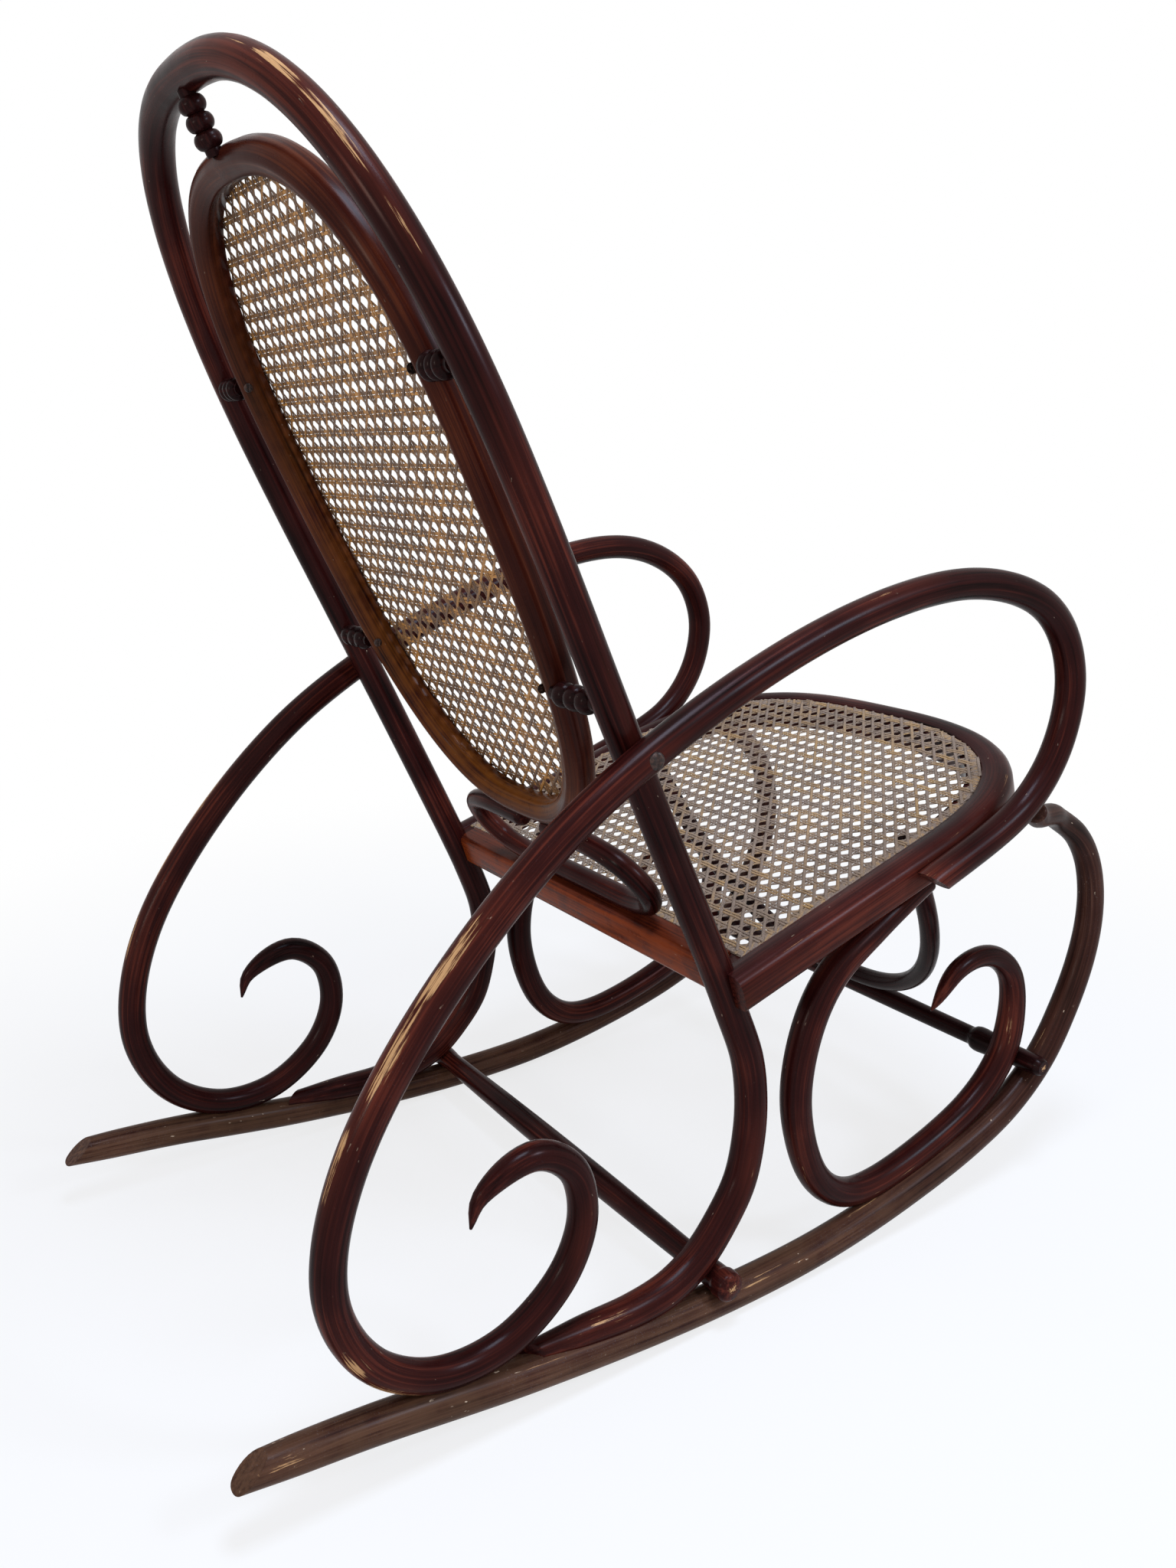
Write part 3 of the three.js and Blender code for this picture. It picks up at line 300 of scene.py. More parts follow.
# Curves and lofts


def unit(vector: Array) -> Array:
    """A direction of length 1."""
    return vector / np.linalg.norm(vector)


def run_along(line: Array) -> Array:
    """Distance along a line at each of its points."""
    return np.concatenate([[0], np.cumsum(np.linalg.norm(np.diff(line, axis=0), axis=1))])


def spline(points: Rows, count: int = 1440) -> Array:
    """Evenly spaced points on a smooth curve through given ones.

    Args:
        points: The points that the curve passes.
        count: Number of steps along the curve.

    Returns:
        An array of count + 1 points.
    """
    p = np.asarray(points, float)
    p = np.vstack([2 * p[0] - p[1], p, 2 * p[-1] - p[-2]])
    pieces = []
    for i in range(1, len(p) - 2):
        a, b, c, d = p[i - 1 : i + 3]
        t0, t1, t2 = (max(np.linalg.norm(v), 1e-9) ** 0.5 for v in (b - a, c - b, d - c))
        m1 = ((b - a) / t0 - (c - a) / (t0 + t1) + (c - b) / t1) * t1
        m2 = ((c - b) / t1 - (d - b) / (t1 + t2) + (d - c) / t2) * t1
        w = np.linspace(0, 1, 80, endpoint=False)[:, None]
        curve = b + m1 * w + (-3 * b + 3 * c - 2 * m1 - m2) * w**2 + (2 * b - 2 * c + m1 + m2) * w**3
        pieces.append(curve)
    dense = np.vstack(pieces + [p[-2:-1]])
    run = run_along(dense)
    even = np.linspace(0, run[-1], count + 1)
    return np.stack([np.interp(even, run, dense[:, k]) for k in range(3)], axis=1)


def lookup(table: Rows, share: Array | float) -> Array:
    """Values of a table of (share, value) rows, on straight lines between rows."""
    rows = np.asarray(table, float)
    return np.interp(share, rows[:, 0], rows[:, 1])


def side_path(shares: Rows, x: float | Array, rise: float) -> Array:
    """A centreline in a side of the chair."""
    rows = np.asarray(shares)
    return np.stack([np.broadcast_to(x, len(rows)), -rows[:, 0] * SIZES.length, rows[:, 1] * rise], axis=1)


def stand_off(line: Array, forward: float, distance: float) -> Array:
    """A place square over a rod's centreline.

    Args:
        line: The centreline.
        forward: Where along it, in front of the rear tips.
        distance: Distance over the line, below 0 for under it.

    Returns:
        The drawn point.
    """
    i = int(np.argmax(-line[:, 1] >= forward))
    run = unit(line[i + 1] - line[i - 1])
    return line[i] + distance * np.array([0.0, run[2], -run[1]])


def pin(path: Array, index: int, target: Array, reach: int) -> None:
    """Moves one point of a path to its seat, and its neighbours less and less.

    Args:
        path: The path's points, changed in place.
        index: The point that moves.
        target: Where it goes.
        reach: Points over which the move eases out.
    """
    shift = target - path[index]
    for i in range(len(path)):
        path[i] += shift * max(0.0, 1 - abs(i - index) / reach)


@dataclass
class Shell:
    """A mesh in the making: drawn points, faces and what its finish reads at each point.

    Attributes:
        points: Drawn points.
        faces: Corner numbers of each face.
        grain: Distance along the grain, and place across it, in metres.
        wear: How far the finish is worn, 0 to about 1.3.
        glow: How far the warm under-colour shows, 0 to 1.
    """

    points: Array
    faces: list[tuple[int, ...]]
    grain: Array
    wear: Array
    glow: Array

    def mesh(self, name: str) -> Mesh:
        """The drawn mesh, with its faces turned outward.

        Args:
            name: The mesh's name.

        Returns:
            The mesh, with grain, wear and glow at its points.
        """
        mesh = bpy.data.meshes.new(name)
        mesh.from_pydata(self.points.tolist(), [], self.faces)
        grain = mesh.attributes.new("grain", "FLOAT_VECTOR", "POINT")
        grain.data.foreach_set("vector", self.grain.astype(np.float32).ravel())
        for label, values in (("wear", self.wear), ("glow", self.glow)):
            layer = mesh.attributes.new(label, "FLOAT", "POINT")
            layer.data.foreach_set("value", values.astype(np.float32))
        bm = bmesh.new()
        bm.from_mesh(mesh)
        bmesh.ops.recalc_face_normals(bm, faces=bm.faces[:])
        bm.to_mesh(mesh)
        bm.free()
        return mesh


def ring_faces(rings: int, sides: int, closed: bool) -> list[tuple[int, ...]]:
    """Faces between rings of corners.

    Args:
        rings: Number of rings.
        sides: Corners of a ring.
        closed: Whether the last ring joins the first. End caps close it otherwise.

    Returns:
        The corner numbers of each face.
    """
    faces: list[tuple[int, ...]] = []
    for i in range(rings if closed else rings - 1):
        a, b = i * sides, ((i + 1) % rings) * sides
        for k in range(sides):
            n = (k + 1) % sides
            faces.append((a + k, a + n, b + n, b + k))
    if not closed:
        faces.append(tuple(range(sides - 1, -1, -1)))
        faces.append(tuple((rings - 1) * sides + k for k in range(sides)))
    return faces


def swept(points: Array, run: Array, grain: Array, wear: Array, glow: Array, closed: bool = False) -> Shell:
    """A shell from a section carried along a line.

    Args:
        points: Drawn points, as rings by corners by 3.
        run: Distance along the line at each ring.
        grain: The corners' two places across the grain, for each corner or each ring and corner.
        wear: How far the finish is worn, likewise.
        glow: How far the warm under-colour shows, likewise.
        closed: Whether the last ring joins the first.

    Returns:
        The shell.
    """
    rings, corners = points.shape[:2]
    parts = (run[:, None], grain[..., 0], grain[..., 1], wear, glow)
    along, across, up, worn, warm = (np.broadcast_to(part, (rings, corners)).ravel() for part in parts)
    places = np.stack([along, across, up], axis=-1)
    return Shell(points.reshape(-1, 3), ring_faces(rings, corners, closed), places, worn, warm)


def corner(across: float, up: float, radius: float, start: float) -> list[tuple[float, float]]:
    """Points of a section's rounded corner, a quarter turn from a start angle."""
    turns = start + np.linspace(0, math.pi / 2, 5)
    return [(across + radius * math.cos(a), up + radius * math.sin(a)) for a in turns]


def lathe(profile: Rows, start: Array, direction: Array, sides: int) -> Shell:
    """A turned piece with a closed profile.

    Args:
        profile: Rows of radius and distance along the axis, from one end to the other.
        start: Where the axis starts, as drawn.
        direction: Direction of the axis, of length 1.
        sides: Number of corners round the axis.

    Returns:
        The turned shell.
    """
    rows = np.asarray(profile, float)
    side = np.cross(direction, [0.0, 0.0, 1.0])
    if np.linalg.norm(side) < 1e-3:
        side = np.cross(direction, ACROSS)
    side = unit(side)
    angle = np.arange(sides) / sides * 2 * math.pi
    cosine, sine = np.cos(angle), np.sin(angle)
    across = cosine[:, None] * side + sine[:, None] * np.cross(direction, side)
    radius, along = rows[:, :1], rows[:, 1:]
    points = start + along[..., None] * direction + radius[..., None] * across[None]
    grain = np.stack([np.repeat(along, sides, 1), radius * cosine, radius * sine], axis=-1)
    count = len(rows) * sides
    faces = ring_faces(len(rows), sides, False)
    return Shell(points.reshape(-1, 3), faces, grain.reshape(-1, 3), np.zeros(count), np.zeros(count))


@dataclass(frozen=True)
class Wear:
    """A patch of worn finish on a rod.

    Attributes:
        share: Place along the rod.
        toward: Direction from the centreline to the patch, as drawn on the left side.
        length: Length of the patch along the rod.
        width: Width of the patch across the rod.
        depth: How far the finish is worn, 0 to about 1.3.
    """

    share: float
    toward: Place
    length: float
    width: float
    depth: float


@dataclass
class Rod:
    """A bent rod: a smooth path with a round, tapering section.

    Attributes:
        path: The points that its centreline passes, as drawn.
        normal: Direction that starts the section's frame.
        radius: Radius at a share of the length.
        wears: Worn patches, with directions for the left side.
        side: Sign of X on the rod's side of the chair.
        round_ends: How deep the ends are rounded, as a share of the radius.
        hook: Length over which the last end draws out to a slim hook.
        line: Points of the centreline, one for each ring.
        tangents: Directions of the centreline there.
        normals: Directions square to it, that turn as little as they can.
        length: Length of the centreline.
    """

    path: Array
    normal: Array
    radius: Callable[[Array], Array]
    wears: Sequence[Wear] = ()
    side: int = 1
    round_ends: float = 0.3
    hook: float = 0.0
    line: Array = field(init=False)
    tangents: Array = field(init=False)
    normals: Array = field(init=False)
    length: float = field(init=False)

    CORNERS = 26
    RING_STEP = 0.006
    TAPER_BLUR = 6  # rings on each side over which the taper is smoothed
    HOOK_LOSS = 0.86  # share of the radius that is gone at a hook's tip
    HOOK_SHIFT = 0.5  # share of the lost radius by which a hook moves outward
    CAP_TURNS = np.linspace(0.12, 1, 6)[:-1] * math.pi / 2  # rings of a rounded end

    def __post_init__(self) -> None:
        """Works out the centreline and its frames."""
        self.length = float(run_along(spline(self.path))[-1])
        self.line = spline(self.path, int(self.length / self.RING_STEP))
        ahead = np.vstack([self.line[1:], self.line[-1:]])
        behind = np.vstack([self.line[:1], self.line[:-1]])
        self.tangents = np.array([unit(step) for step in ahead - behind])
        normal = self.normal
        normals = []
        for tangent in self.tangents:
            normal = unit(normal - np.dot(normal, tangent) * tangent)
            normals.append(normal)
        self.normals = np.array(normals)

    def mirrored(self) -> Rod:
        """The same rod on both hands, where its path starts in the middle plane."""
        half = self.radius
        return replace(
            self,
            path=np.vstack([self.path[:0:-1] * MIRROR, self.path]),
            normal=self.normals[-1] * MIRROR,
            radius=lambda share: half(np.abs(2 * share - 1)),
        )

    def worn(self, patch: Wear, offset: Array, points: Array, along: Array) -> Array:
        """How far one patch wears the finish.

        Args:
            patch: The patch.
            offset: The points' places from the centreline.
            points: The rod's points.
            along: Their distance along the rod.

        Returns:
            The wear at each point.
        """
        i = int(round(patch.share * (len(self.line) - 1)))
        tangent = self.tangents[i]
        toward = np.array(patch.toward) * [self.side, 1, 1]
        toward = unit(toward - np.dot(toward, tangent) * tangent)
        delta = points - self.line[i] - toward * self.radius(np.array([patch.share]))
        run = along - patch.share * self.length
        across = np.linalg.norm(delta - np.outer(delta @ tangent, tangent), axis=1)
        within = (np.abs(run) < patch.length * 2) & (offset @ toward > 0)
        return patch.depth * within * np.exp(-((run / patch.length) ** 2) - (across / patch.width) ** 2)

    def shell(self) -> Shell:
        """The rod's mesh, with rounded ends.

        Returns:
            A closed shell that carries grain and wear.
        """
        share = np.linspace(0, 1, len(self.line))
        kernel = np.hanning(2 * self.TAPER_BLUR + 1)
        radii = np.pad(self.radius(share), self.TAPER_BLUR, mode="edge")
        radii = np.convolve(radii, kernel / kernel.sum(), mode="valid")
        centres, along = self.line, share * self.length
        if self.hook:
            drawn = ((along - self.length + self.hook) / self.hook).clip(0, 1)
            lost = radii * self.HOOK_LOSS * drawn**3
            inward = np.cross(self.tangents, self.normals)
            last = slice(-len(self.line) // 8, -3)
            inward *= np.sign((np.gradient(self.tangents, axis=0)[last] * inward[last]).sum())
            centres = centres - (lost * self.HOOK_SHIFT)[:, None] * inward
            radii = radii - lost
        caps = len(self.CAP_TURNS)
        turns = np.concatenate([-self.CAP_TURNS[::-1], np.zeros(len(radii)), self.CAP_TURNS])
        radii, along = (np.pad(each, caps, mode="edge") for each in (radii, along))
        ends = ((caps, caps), (0, 0))
        centres, tangents, normals = (
            np.pad(each, ends, mode="edge") for each in (centres, self.tangents, self.normals)
        )
        push = self.round_ends * radii * np.sin(turns)
        centres = centres + push[:, None] * tangents
        radii = radii * (1 - self.round_ends * (1 - np.cos(turns)))
        angle = np.arange(self.CORNERS) / self.CORNERS * 2 * math.pi
        wide, high = np.outer(radii, np.cos(angle)), np.outer(radii, np.sin(angle))
        offset = wide[..., None] * np.cross(tangents, normals)[:, None] + high[..., None] * normals[:, None]
        points = (centres[:, None] + offset).reshape(-1, 3)
        along = np.repeat(along + push, self.CORNERS)
        wear = np.zeros(len(points))
        for patch in self.wears:
            wear = np.maximum(wear, self.worn(patch, offset.reshape(-1, 3), points, along))
        grain = np.stack([along, wide.ravel(), high.ravel()], axis=-1)
        return Shell(points, ring_faces(len(radii), self.CORNERS, False), grain, wear, np.zeros(len(points)))


@dataclass(frozen=True)
class Cut:
    """A flat cut of a piece.

    Attributes:
        point: A point of the plane.
        outward: The plane's direction, to the side that is cut away.
    """

    point: Array
    outward: Array

    REACH = 0.09  # distance from the point within which the cut is made

    @classmethod
    def tip_slope(cls, rod: Rod, end: int, length: float, radius: float) -> Cut:
        """The slope on the upper side of a rod's tip.

        Args:
            rod: The rod.
            end: 0 for its first end and -1 for its last.
            length: How far behind the tip the slope starts.
            radius: The rod's full radius.

        Returns:
            The cut.
        """
        back = rod.tangents[end] * (1 if end == 0 else -1)
        side = rod.normals[end]
        up = np.cross(back, side)
        up *= np.sign(up[2])
        tip = rod.line[end] - up * radius / 2
        heel = rod.line[end] + back * length + up * radius
        outward = unit(np.cross(heel - tip, side))
        return cls((tip + heel) / 2, outward * np.sign(outward[2]))

    def make(self, mesh: Mesh) -> None:
        """Cuts a mesh and closes it.

        Args:
            mesh: The mesh, in its drawn place, changed in place.
        """
        bm = bmesh.new()
        bm.from_mesh(mesh)
        point = Vector(self.point)
        geometry = [v for v in bm.verts if (v.co - point).length < self.REACH]
        near = set(geometry)
        geometry += [e for e in bm.edges if near.issuperset(e.verts)]
        geometry += [f for f in bm.faces if near.issuperset(f.verts)]
        made = bmesh.ops.bisect_plane(
            bm, geom=geometry, plane_co=point, plane_no=Vector(self.outward), clear_outer=True, dist=1e-6
        )
        edges = [e for e in made["geom_cut"] if isinstance(e, bmesh.types.BMEdge)]
        bmesh.ops.contextual_create(bm, geom=edges)
        bmesh.ops.recalc_face_normals(bm, faces=bm.faces[:])
        bm.to_mesh(mesh)
        bm.free()


# From drawn pieces to finished ones


def smooth(mesh: Mesh, sharp: float) -> None:
    """Shades a mesh smooth, apart from edges sharper than an angle in degrees."""
    mesh.shade_smooth()
    mesh.set_sharp_from_angle(angle=math.radians(sharp))


def link(name: str, data: bpy.types.ID) -> bpy.types.Object:
    """Puts a mesh, light or camera into the scene.

    Args:
        name: The object's name.
        data: What it shows.

    Returns:
        The object.
    """
    obj = bpy.data.objects.new(name, data)
    bpy.context.scene.collection.objects.link(obj)
    return obj


def settle(name: str, mesh: Mesh, nodes: Sequence[str]) -> None:
    """Makes a finished mesh a piece that rides on the chair's one body.

    Args:
        name: The piece's name.
        mesh: Its mesh, in its standing place.
        nodes: The CAD nodes that it stands for.
    """
    obj = link(name, mesh)
    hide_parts(*nodes)
    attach(obj, "root")
    log.info("%s: %d faces for %s", name, len(mesh.polygons), ", ".join(nodes[:3]))


def piece(
    name: str,
    shell: Shell,
    material: Material,
    node: str,
    cuts: Sequence[Cut] = (),
    sharp: float = 40.0,
) -> Mesh:
    """Makes a finished piece from its drawn shell, kept inside the CAD's box.

    Args:
        name: The piece's name.
        shell: Its mesh as drawn.
        material: Its finish.
        node: The CAD node that it stands for.
        cuts: Flat cuts made in the drawn mesh.
        sharp: Angle in degrees from which an edge stays sharp.

    Returns:
        The piece's mesh.
    """
    mesh = shell.mesh(name)
    for each in cuts:
        each.make(mesh)
    mesh.transform(STANCE.matrix())
    places = np.empty(len(mesh.vertices) * 3, np.float32)
    mesh.vertices.foreach_get("co", places)
    mesh.vertices.foreach_set("co", np.clip(places.reshape(-1, 3), *CAD_BOX).ravel())
    smooth(mesh, sharp)
    mesh.materials.append(material)
    mesh.update()
    settle(name, mesh, [node])
    return mesh


# Finishes


class Graph:
    """A short way to write a node tree."""

    def __init__(self, tree: bpy.types.NodeTree) -> None:
        """Starts on a tree."""
        self.tree = tree

    @classmethod
    def emptied(cls, owner: Material | bpy.types.World) -> Graph:
        """Starts on the emptied tree of a material or world.

        Args:
            owner: The material or world.

        Returns:
            Its tree, ready for nodes.
        """
        owner.use_nodes = True
        owner.node_tree.nodes.clear()
        return cls(owner.node_tree)

    @classmethod
    def group(cls, name: str) -> Graph:
        """Starts on a new Geometry Nodes tree that gives a mesh.

        Args:
            name: The tree's name.

        Returns:
            The tree, ready for nodes.
        """
        g = cls(bpy.data.node_groups.new(name, "GeometryNodeTree"))
        g.tree.interface.new_socket("Geometry", in_out="OUTPUT", socket_type="NodeSocketGeometry")
        return g

    def input(self, name: str, kind: str = "Float") -> str:
        """Adds a named input to the tree."""
        made = self.tree.interface.new_socket(name, in_out="INPUT", socket_type=f"NodeSocket{kind}")
        return made.identifier

    def dress(self, geometry: Socket, finish: Socket) -> None:
        """Ends the tree with real geometry in its finish."""
        real = self.get("GeometryNodeRealizeInstances", {0: geometry})
        self.add("NodeGroupOutput", {0: self.get("GeometryNodeSetMaterial", {0: real, "Material": finish})})

    def add(self, kind: str, inputs: Inputs | None = None, **settings: object) -> bpy.types.Node:
        """Adds a node.

        Args:
            kind: The node's type.
            inputs: Values or sockets for its inputs, by name or number.
            **settings: Properties of the node.

        Returns:
            The new node.
        """
        node = self.tree.nodes.new(kind)
        for key, value in settings.items():
            setattr(node, key, value)
        for key, value in (inputs or {}).items():
            if isinstance(value, Socket):
                self.tree.links.new(value, node.inputs[key])
            else:
                node.inputs[key].default_value = value
        return node

    def get(self, kind: str, inputs: Inputs | None = None, **settings: object) -> Socket:
        """The first output of a new node, which is described as for add."""
        return self.add(kind, inputs, **settings).outputs[0]

    def math(self, operation: str, *values: object) -> Socket:
        """The result of a number operation on values or sockets."""
        return self.get("ShaderNodeMath", dict(enumerate(values)), operation=operation)

    def plus(self, first: object, second: object) -> Socket:
        """A sum."""
        return self.math("ADD", first, second)

    def minus(self, first: object, second: object) -> Socket:
        """A difference."""
        return self.math("SUBTRACT", first, second)

    def times(self, first: object, second: object) -> Socket:
        """A product."""
        return self.math("MULTIPLY", first, second)

    def weighed(self, first: Socket, much: float, second: Socket, little: float) -> Socket:
        """The sum of two values, each times its weight."""
        return self.plus(self.times(first, much), self.times(second, little))

    def vector(self, operation: str, *values: object) -> Socket:
        """The result of a vector operation on values or sockets."""
        return self.get("ShaderNodeVectorMath", dict(enumerate(values)), operation=operation)

    def scaled(self, vector: Socket, factor: object) -> Socket:
        """A vector times a number."""
        return self.get("ShaderNodeVectorMath", {0: vector, "Scale": factor}, operation="SCALE")

    def join(self, x: object, y: object, z: object = 0.0) -> Socket:
        """A vector from its parts."""
        return self.get("ShaderNodeCombineXYZ", {0: x, 1: y, 2: z})

    def split(self, vector: Socket) -> Outputs:
        """The three parts of a vector."""
        return self.add("ShaderNodeSeparateXYZ", {0: vector}).outputs

    def joined(self, parts: Sequence[Socket]) -> Socket:
        """Joins geometries.

        Args:
            parts: The geometries.

        Returns:
            All of them as one.
        """
        node = self.add("GeometryNodeJoinGeometry")
        for part in parts:
            self.tree.links.new(part, node.inputs[0])
        return node.outputs[0]

    def ramp(self, value: Socket, low: float, high: float, start: float = 0.0, end: float = 1.0) -> Socket:
        """A value brought smoothly from one range to another, and held at its ends."""
        limits = {"Value": value, "From Min": low, "From Max": high, "To Min": start, "To Max": end}
        return self.get("ShaderNodeMapRange", limits, interpolation_type="SMOOTHSTEP")

    def mix(self, share: object, first: object, second: object) -> Socket:
        """Two colours mixed by a share."""
        return self.add("ShaderNodeMix", {0: share, 6: first, 7: second}, data_type="RGBA").outputs[2]

    def noise(self, vector: Socket, scale: float, detail: float = 4.0, rough: float = 0.55) -> Socket:
        """A noise value at a place."""
        inputs = {"Vector": vector, "Scale": scale, "Detail": detail, "Roughness": rough}
        return self.get("ShaderNodeTexNoise", inputs)

    def grained(self, grain: Socket, along: float, across: float, detail: float, rough: float) -> Socket:
        """A noise value stretched along the grain."""
        return self.noise(self.vector("MULTIPLY", grain, (along, across, across)), 1.0, detail, rough)

    def attribute(self, name: str) -> Outputs:
        """The outputs that read a mesh attribute."""
        return self.add("ShaderNodeAttribute", attribute_name=name).outputs

    def here(self) -> Socket:
        """The shaded point's place."""
        return self.add("ShaderNodeTexCoord").outputs["Object"]

    def surface(self, height: Socket, distance: float, strength: float, **inputs: object) -> None:
        """Adds the finish's shader and its output.

        Args:
            height: Relief of the surface.
            distance: Depth of that relief.
            strength: How much of it shows.
            **inputs: The shader's inputs, with _ for spaces.
        """
        bump = self.get("ShaderNodeBump", {"Height": height, "Distance": distance, "Strength": strength})
        values = {key.replace("_", " "): value for key, value in inputs.items()}
        shader = self.get("ShaderNodeBsdfPrincipled", values | {"Normal": bump})
        self.add("ShaderNodeOutputMaterial", {0: shader})


@dataclass(frozen=True)
class StainedWood:
    """Stained and polished bent wood with years of handling.

    Attributes:
        name: The finish's name.
        deep: Colour of the darkest streaks.
        body: Colour of most of the surface.
        flush: Colour of the lighter, redder clouds.
        glow: Warm under-colour where the stain is thin.
        bare: Colour of wood with the finish worn off.
        chip: Colour of small chips.
        haze: Colour of the dust in the finish.
        gloss: Roughness of the polish.
        chips: How much of the surface is chipped, 0 to 1.
        dust: How much pale dust lies in the finish.
    """

    name: str
    deep: Colour = (0.0045, 0.0008, 0.0008, 1.0)
    body: Colour = (0.026, 0.0042, 0.0034, 1.0)
    flush: Colour = (0.105, 0.02, 0.011, 1.0)
    glow: Colour = (0.21, 0.055, 0.009, 1.0)
    bare: Colour = (0.55, 0.3, 0.13, 1.0)
    chip: Colour = (0.5, 0.36, 0.24, 1.0)
    haze: Colour = (0.2, 0.18, 0.19, 1.0)
    gloss: float = 0.27
    chips: float = 0.5
    dust: float = 0.07

    # Noises along the grain: how fine along it and across it, then detail and roughness
    STREAKS = (5.0, 320.0, 5.0, 0.6)
    FIBRES = (38.0, 1500.0, 3.0, 0.6)
    SCRATCHES = (16.0, 620.0, 4.0, 0.65)
    FLECKS = (120.0, 300.0, 2.0, 0.5)
    # Noises that don't follow the grain: how fine, detail and roughness
    CLOUDS = (7.0, 3.0, 0.55)
    PATCHES = (34.0, 4.0, 0.6)
    SPECKS = (950.0, 2.0, 0.5)

    def build(self) -> Material:
        """Makes the material.

        Returns:
            A material that reads the mesh's grain, wear and glow.
        """
        material = bpy.data.materials.new(self.name)
        g = Graph.emptied(material)
        grain, here = g.attribute("grain")["Vector"], g.here()
        wear, glow = g.attribute("wear")["Fac"], g.attribute("glow")["Fac"]
        streaks, fibres, scratches, flecks = (
            g.grained(grain, *each) for each in (self.STREAKS, self.FIBRES, self.SCRATCHES, self.FLECKS)
        )
        clouds, patches, specks = (g.noise(here, *each) for each in (self.CLOUDS, self.PATCHES, self.SPECKS))

        tone = g.weighed(streaks, 0.55, clouds, 0.45)
        colour = g.mix(g.ramp(tone, 0.34, 0.52), self.deep, self.body)
        colour = g.mix(g.ramp(tone, 0.5, 0.66), colour, self.flush)
        thin = g.ramp(g.plus(streaks, g.times(patches, 0.6)), 0.5, 0.95)
        colour = g.mix(g.times(glow, thin), colour, self.glow)

        rubbed = g.weighed(scratches, 0.75, patches, 0.25)
        rubbed = g.plus(rubbed, g.times(g.minus(wear, 1.0), 0.3))
        rubbed = g.ramp(rubbed, 0.47, 0.55)
        colour = g.mix(g.times(wear, g.times(scratches, 0.9)), colour, self.flush)
        colour = g.mix(rubbed, colour, self.bare)

        chipped = g.ramp(flecks, 0.735 - 0.04 * self.chips, 0.76)
        chipped = g.times(g.times(chipped, g.ramp(patches, 0.5, 0.72)), self.chips * 2.0)
        chipped = g.get("ShaderNodeClamp", {0: chipped})
        colour = g.mix(chipped, colour, self.chip)

        dusty = g.times(g.ramp(specks, 0.6, 0.78), g.ramp(clouds, 0.4, 0.62))
        colour = g.mix(g.times(dusty, self.dust), colour, self.haze)

        polish = g.ramp(patches, 0.3, 0.7, self.gloss - 0.05, self.gloss + 0.1)
        height = g.minus(g.weighed(streaks, 0.5, fibres, 0.25), g.times(chipped, 0.5))
        g.surface(
            height,
            0.0004,
            0.35,
            Base_Color=colour,
            Roughness=g.plus(polish, g.times(rubbed, 0.22)),
            Specular_IOR_Level=0.03,
            Coat_Weight=0.06,
            Coat_Roughness=0.2,
        )
        return material


@dataclass(frozen=True)
class WovenCane:
    """Split cane, darkened with age.

    Attributes:
        name: The finish's name.
        old: Colour of the grey-brown strands.
        fresh: Colour of the golden strands.
        dark: Colour of stains and of the strands' edges.
        pale: Colour of the rubbed skin on top of a strand.
    """

    name: str
    old: Colour = (0.23, 0.16, 0.115, 1.0)
    fresh: Colour = (0.44, 0.25, 0.09, 1.0)
    dark: Colour = (0.06, 0.035, 0.025, 1.0)
    pale: Colour = (0.72, 0.56, 0.38, 1.0)

    def build(self) -> Material:
        """Makes the material.

        Returns:
            A material that reads each strand's length, number and tone.
        """
        material = bpy.data.materials.new(self.name)
        g = Graph.emptied(material)
        along, number, _ = g.split(g.attribute("strand")["Vector"])
        chance = g.get("ShaderNodeTexWhiteNoise", {"W": number}, noise_dimensions="1D")
        blotch = g.noise(g.join(g.times(along, 22.0), g.times(number, 7.3)), 1.0, 3.0)
        here = g.here()
        clouds, specks = g.noise(here, 14.0, 3.0), g.noise(here, 900.0, 2.0)
        share = g.plus(g.attribute("tone")["Fac"], g.times(g.minus(chance, 0.5), 0.6))
        share = g.plus(share, g.times(g.minus(blotch, 0.5), 1.9))
        colour = g.mix(g.ramp(share, 0.1, 0.9), self.old, self.fresh)
        colour = g.mix(g.times(g.ramp(clouds, 0.52, 0.75), 0.4), colour, self.dark)
        colour = g.mix(g.times(g.ramp(specks, 0.58, 0.72), 0.4), colour, self.pale)
        colour = g.mix(g.times(g.ramp(specks, 0.46, 0.34), 0.5), colour, self.dark)
        g.surface(specks, 0.0003, 0.5, Base_Color=colour, Roughness=0.5, Specular_IOR_Level=0.3)
        return material


@dataclass(frozen=True)
class DullSteel:
    """Old screw heads, darkened by polish and rust.

    Attributes:
        name: The finish's name.
        metal: Colour of the metal.
        rust: Colour of the rust.
    """

    name: str = "dull_steel"
    metal: Colour = (0.035, 0.027, 0.025, 1.0)
    rust: Colour = (0.05, 0.018, 0.009, 1.0)

    def build(self) -> Material:
        """Makes the material.

        Returns:
            A metal with rusty patches.
        """
        material = bpy.data.materials.new(self.name)
        g = Graph.emptied(material)
        stain = g.noise(g.here(), 420.0)
        rusty = g.ramp(stain, 0.45, 0.62)
        g.surface(
            stain,
            0.0002,
            0.4,
            Base_Color=g.mix(rusty, self.metal, self.rust),
            Roughness=g.ramp(stain, 0.3, 0.7, 0.34, 0.6),
            Metallic=g.minus(0.9, g.times(rusty, 0.7)),
        )
        return material


